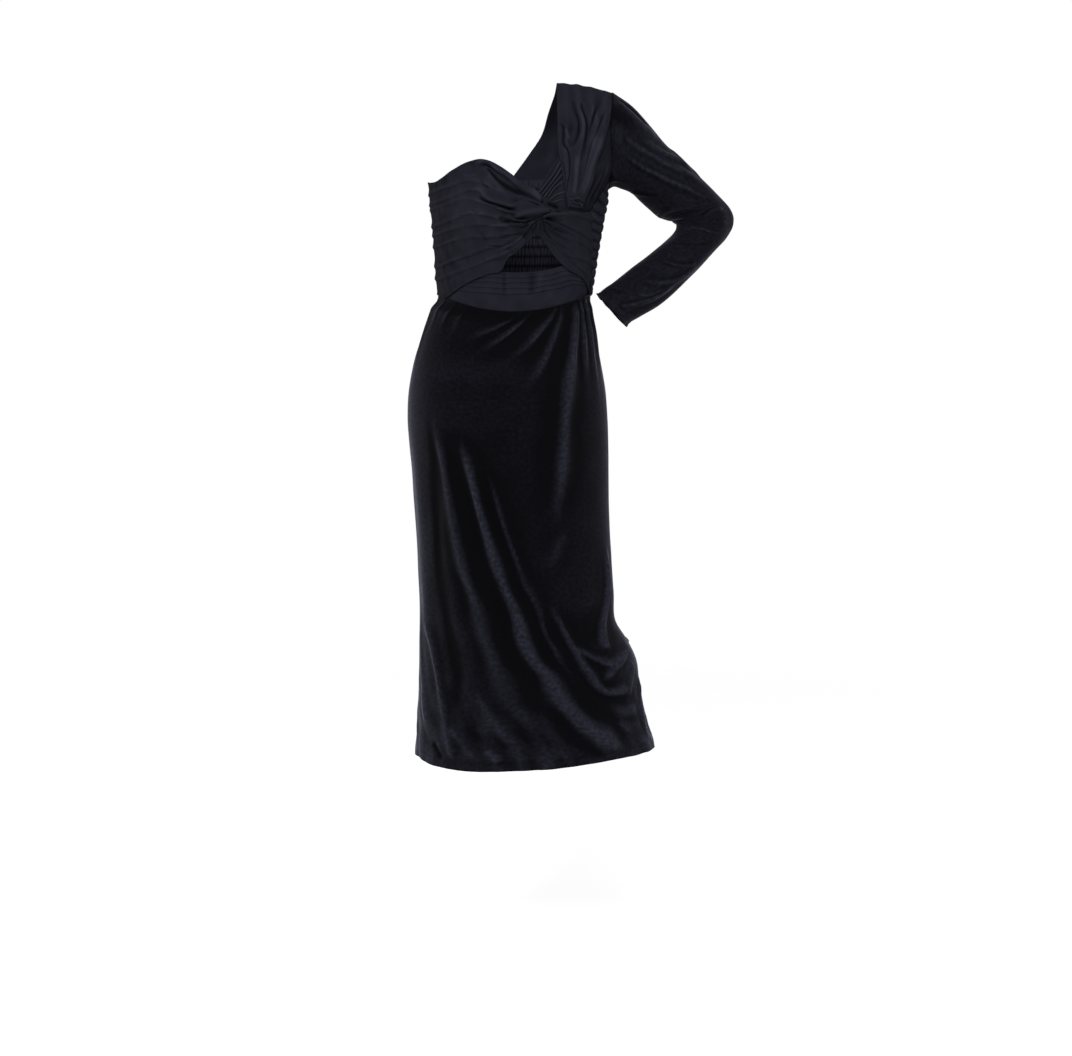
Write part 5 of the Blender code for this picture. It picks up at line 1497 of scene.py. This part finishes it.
@dataclass
class Sleeve:
    """Long velvet sleeve bent at the elbow, with the hand at the hip and a rolled wavy cuff."""

    figure: Figure
    cup: Cup
    strap: Strap
    rows: int = 250
    columns: int = 140
    cup_from: float = 0.42
    cup_to: float = 0.92
    strap_from: float = 6.4
    reach: float = 3.0  # rings over which it gives way to the armhole's line
    folds_back: tuple[float, ...] = (0.35, -0.2, 0.15, -0.3, 0.25)  # rings between a fold and its copy behind
    radius: float = 0.045  # of a general section, for the lengths round it
    lit: tuple[tuple[float, ...], ...] = numbers(  # number of a fold, how bright the highlight painted on its crest is, and how wide that is
        """
        0 .6 .0062; 3 .85 .0026; 4 .95 .0026; 5 .8 .0032; 6 .4 .006; 8 .6 .0016; 9 .7 .0016; 10 .4 .0013;
        11 .3 .003; 14 .25 .0016; 15 .6 .0016; 16 .5 .0034; 17 .6 .0026; 18 .8 .0028; 20 .3 .003; 22 .4 .006;
        23 .6 .0085
        """
    )
    gap: float = -0.0004  # its edge meets the strap's
    tucked: float = 0.0026  # how far the seam allowance goes on under it
    cuff_rise: float = 0.0008
    cuff_flare: float = 0.0022
    cuff_wave: float = 0.0020
    cuff_waves: int = 8
    flat: tuple[float, float] = (math.radians(1) * 0.045, 0.027)
    table: Table = Table(
        "outer_x outer_z inner_x inner_z middle half_depth",
        """
        0 .1572 1.528 .1532 1.3775 .008 .054; 1 .19 1.506 .1625 1.382 .012 .051;
        2 .2178 1.4762 .1736 1.3785 .018 .048; 3 .2426 1.4486 .189 1.3715 .025 .046;
        4 .2698 1.4252 .2046 1.3582 .033 .045; 5 .2986 1.3993 .2202 1.3458 .042 .045;
        6 .326 1.3752 .2364 1.333 .05 .044; 7 .345 1.3552 .2532 1.3272 .056 .043;
        8 .3546 1.338 .266 1.3262 .059 .043; 9 .3566 1.324 .269 1.319 .06 .043;
        10 .3542 1.3104 .268 1.3107 .06 .042; 11 .345 1.2932 .2601 1.3007 .057 .041;
        12 .3265 1.2728 .243 1.2858 .051 .04; 13 .3008 1.2445 .2191 1.266 .042 .039;
        14 .2716 1.2161 .1919 1.2461 .031 .038; 15 .2392 1.1895 .166 1.2261 .019 .036;
        16 .207 1.1698 .1475 1.2126 .01 .034; 17 .1786 1.1535 .1343 1.2011 .003 .031
        """,
    )

    def armhole(self, turn: Array) -> Array:
        """Points of the edges that the sleeve is sewn to.

        Args:
            turn: Turns round the sleeve, in radians.

        Returns:
            Array: A point for each turn.
        """
        side = np.linspace(self.cup_from, self.cup_to, 12)
        cup = self.figure.torso(self.cup.side.at("angle", side), self.cup.side.at("height", side), BASE_OUT)
        strap = self.strap.points(np.linspace(self.strap_from, 13.85, 40), np.array([1.0]))[:, 0]
        under = np.linspace(self.strap.foot[1], SMOCK_START, 16)[1:-1]
        smock = self.figure.torso(under, SMOCK_TOP.at("height", under), SMOCK_IN + WALL)
        line = np.concatenate([cup, strap, smock])
        _, _, outer_z, _, inner_z, middle, depth = self.table.rows[0]
        up = (line[:, 2] - (outer_z + inner_z) / 2) / (outer_z - inner_z) * 2
        place = np.arctan2((middle - line[:, 1]) / depth, up) % math.tau
        order = place.argsort()
        found = [np.interp(turn, place[order], line[order, axis], period=math.tau) for axis in range(3)]
        return np.stack(found, axis=-1) + (self.gap, 0, 0)

    def build(self, wardrobe: Wardrobe) -> None:
        """Make and hang the sleeve.

        Args:
            wardrobe: What dresses it.
        """
        last = len(self.table.rows) - 1
        ring = np.linspace(0, last, self.rows)[:, None]
        turn = np.linspace(0, math.tau, self.columns + 1)[None, :]
        folds = SLEEVE_FRONT + tuple(fold.turned(shift, 0.9) for fold, shift in zip(SLEEVE_FRONT, self.folds_back * 5))
        degrees, rings = np.broadcast_arrays(np.degrees(turn), ring)
        raised = sum(shades(folds, degrees + whole, rings, self.flat) for whole in (0, -360, 360))
        around = np.stack([np.cos(np.radians(degrees)), np.sin(np.radians(degrees))]) * self.radius
        onward = rings * 0.019
        raised = raised + Ripple(72, 0.0006, 0.02, 0.08, 18).height(around[0] + onward, around[1] + onward)
        edge = (last - rings) * self.flat[1]
        rolls = 1.6 * bell(edge, 0.0020, 0.0016) + bell(edge, 0.0068, 0.0015)
        wave = np.sin(self.cuff_waves * np.radians(degrees) + 1.5 * np.sin(3 * np.radians(degrees)))
        raised = raised + self.cuff_rise * rolls + self.cuff_flare * np.exp(-edge / 0.0035)
        raised = raised + self.cuff_wave * wave * np.exp(-edge / 0.0042)
        columns = self.table.columns.split()
        outer_x, outer_z, inner_x, inner_z, middle, depth = (self.table.at(column, ring) for column in columns)
        half = np.hypot(outer_x - inner_x, outer_z - inner_z) / 2
        grown = (half + raised) / half
        x = (outer_x + inner_x) / 2 + (outer_x - inner_x) / 2 * np.cos(turn) * grown
        z = (outer_z + inner_z) / 2 + (outer_z - inner_z) / 2 * np.cos(turn) * grown
        y = middle - (depth + raised) * np.sin(turn)
        grid = np.stack([x, y, z], axis=-1)
        sewn = 1 - soft_step(ring, 0, self.reach)
        grid = grid + (self.armhole(turn[0]) - grid[0]) * sewn[..., None]
        # Painted highlights along the crests of the lit folds.
        lines = (
            replace(SLEEVE_FRONT[int(number)], width=width, rise=share, swell=1.3)
            for number, share, width in self.lit
        )
        lit = shades(tuple(lines), degrees, rings, self.flat)
        lit = np.concatenate([lit[:1], lit])[::-1]
        spoke = grid[0].mean(axis=0) - grid[0]
        under = grid[0] + (spoke / np.linalg.norm(spoke, axis=-1, keepdims=True) + (-1, 0, 0)) * self.tucked
        grid = np.concatenate([under[None], grid])[::-1]
        # Painted light: the whole sleeve painted lighter, painted light where it turns to the wearer's right, and
        # painted highlights along the lit folds.
        look = {"lie_depth": 0.0100, "calming": 16, "lightened": 0.44, "shading_paint": 0.35, "shade": lit}
        shell = Shell("left_sleeve_cloth", grid, (0.28, 0.46), wrap=True, **look)
        wardrobe.hang(shell.build(), "left_sleeve", "velvet")


# Studio


@dataclass
class Studio:
    """Camera, pale floor and soft light."""

    camera_place: tuple[float, float, float] = (-0.0793, -2.755, -0.337)
    camera_down: float = 8.0
    focal_pixels: float = 1647.0
    image_width: int = 1072
    floor: float = -1.537
    floor_side: float = -0.08
    floor_radius: float = 2.6
    floor_fade: float = 1.3  # width of the rim over which the floor gives way to the plain background
    ambient: float = 0.30

    def camera(self) -> None:
        """Set the camera at the photograph's viewing angle."""
        data = bpy.data.cameras.new("camera")
        data.sensor_width = 36
        data.lens = self.focal_pixels / self.image_width * 36
        camera = bpy.data.objects.new("camera", data)
        bpy.context.scene.collection.objects.link(camera)
        camera.location = self.camera_place
        camera.rotation_euler = (math.radians(90 - self.camera_down), 0, 0)
        bpy.context.scene.camera = camera

    def surroundings(self) -> None:
        """Make the pale floor and the plain light all round."""
        bpy.ops.object.select_all(action="DESELECT")
        centre = (self.floor_side, 0, self.floor)
        bpy.ops.mesh.primitive_circle_add(vertices=96, radius=self.floor_radius, fill_type="NGON", location=centre)
        bpy.ops.object.transform_apply(location=True, rotation=True, scale=True)
        floor = bpy.context.object
        floor.name = "floor"
        made, graph, shader = Graph.material("pale_floor")
        place = graph.add("ShaderNodeTexCoord").outputs["Object"]
        mottle = graph.use("soft_mottle", {"Place": place, "Size": 0.5, "Contrast": 0.6})[0]
        away = graph.add("ShaderNodeVectorMath", {0: place, 1: centre}, operation="DISTANCE").outputs["Value"]
        rim = graph.sum("DIVIDE", graph.sum("SUBTRACT", self.floor_radius, away), self.floor_fade)
        look = {
            "Base Color": graph.sum("MULTIPLY_ADD", mottle, 0.01, 0.84),
            "Alpha": graph.add("ShaderNodeClamp", {0: rim}).outputs[0],
            "Roughness": 0.9,
            "Specular IOR Level": 0.1,
            "Emission Color": WHITE,
            "Emission Strength": 0.45,
        }
        graph.fill(shader, look)
        floor.data.materials.append(made)
        world = bpy.data.worlds.new("studio")
        bpy.context.scene.world = world
        world.use_nodes = True
        graph = Graph(world.node_tree)
        seen = graph.add("ShaderNodeLightPath").outputs["Is Camera Ray"]
        strength = graph.sum("MULTIPLY_ADD", seen, 1 - self.ambient, self.ambient)
        graph.fill(world.node_tree.nodes["Background"], {"Strength": strength, "Color": WHITE})

    def lamp(self, name: str, place: tuple[float, float, float], size: float, power: float) -> None:
        """Hang a square soft light that faces the dress.

        Args:
            name: The light's name.
            place: Where it hangs.
            size: Its side.
            power: Its power in watts.
        """
        data = bpy.data.lights.new(name, "AREA")
        data.size, data.energy = size, power
        lamp = bpy.data.objects.new(name, data)
        bpy.context.scene.collection.objects.link(lamp)
        lamp.location = place
        aim = Vector((-0.05, 0, -0.45)) - lamp.location
        lamp.rotation_euler = aim.to_track_quat("-Z", "Y").to_euler()

    def build(self) -> None:
        """Make everything round the dress."""
        self.surroundings()
        self.lamp("key", (-0.6, -2.5, 1.7), 1.5, 92)
        self.lamp("left_edge", (-2.4, 1.1, -0.8), 1.4, 48)
        self.lamp("right_edge", (2.3, 1.1, -0.2), 1.2, 20)
        self.lamp("right_side", (2.6, -0.6, 0.3), 1.4, 18)
        bpy.context.scene.view_settings.view_transform = "Standard"


def main() -> None:
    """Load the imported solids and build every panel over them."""
    logging.basicConfig(level=logging.INFO, format="%(name)s: %(message)s")
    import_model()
    studio = Studio()
    studio.camera()
    ClothPatterns().build()
    wardrobe = Wardrobe(SatinFinish().material(), VelvetFinish().material())
    figure = Figure()
    cup, strap = Cup(figure), Strap(figure)
    sleeve = Sleeve(figure, cup, strap)
    for part in (Skirt(figure), Waistband(figure), Bodice(figure), cup, strap, SmockedBack(figure), sleeve):
        part.build(wardrobe)
    studio.build()


if __name__ == "__main__":
    main()
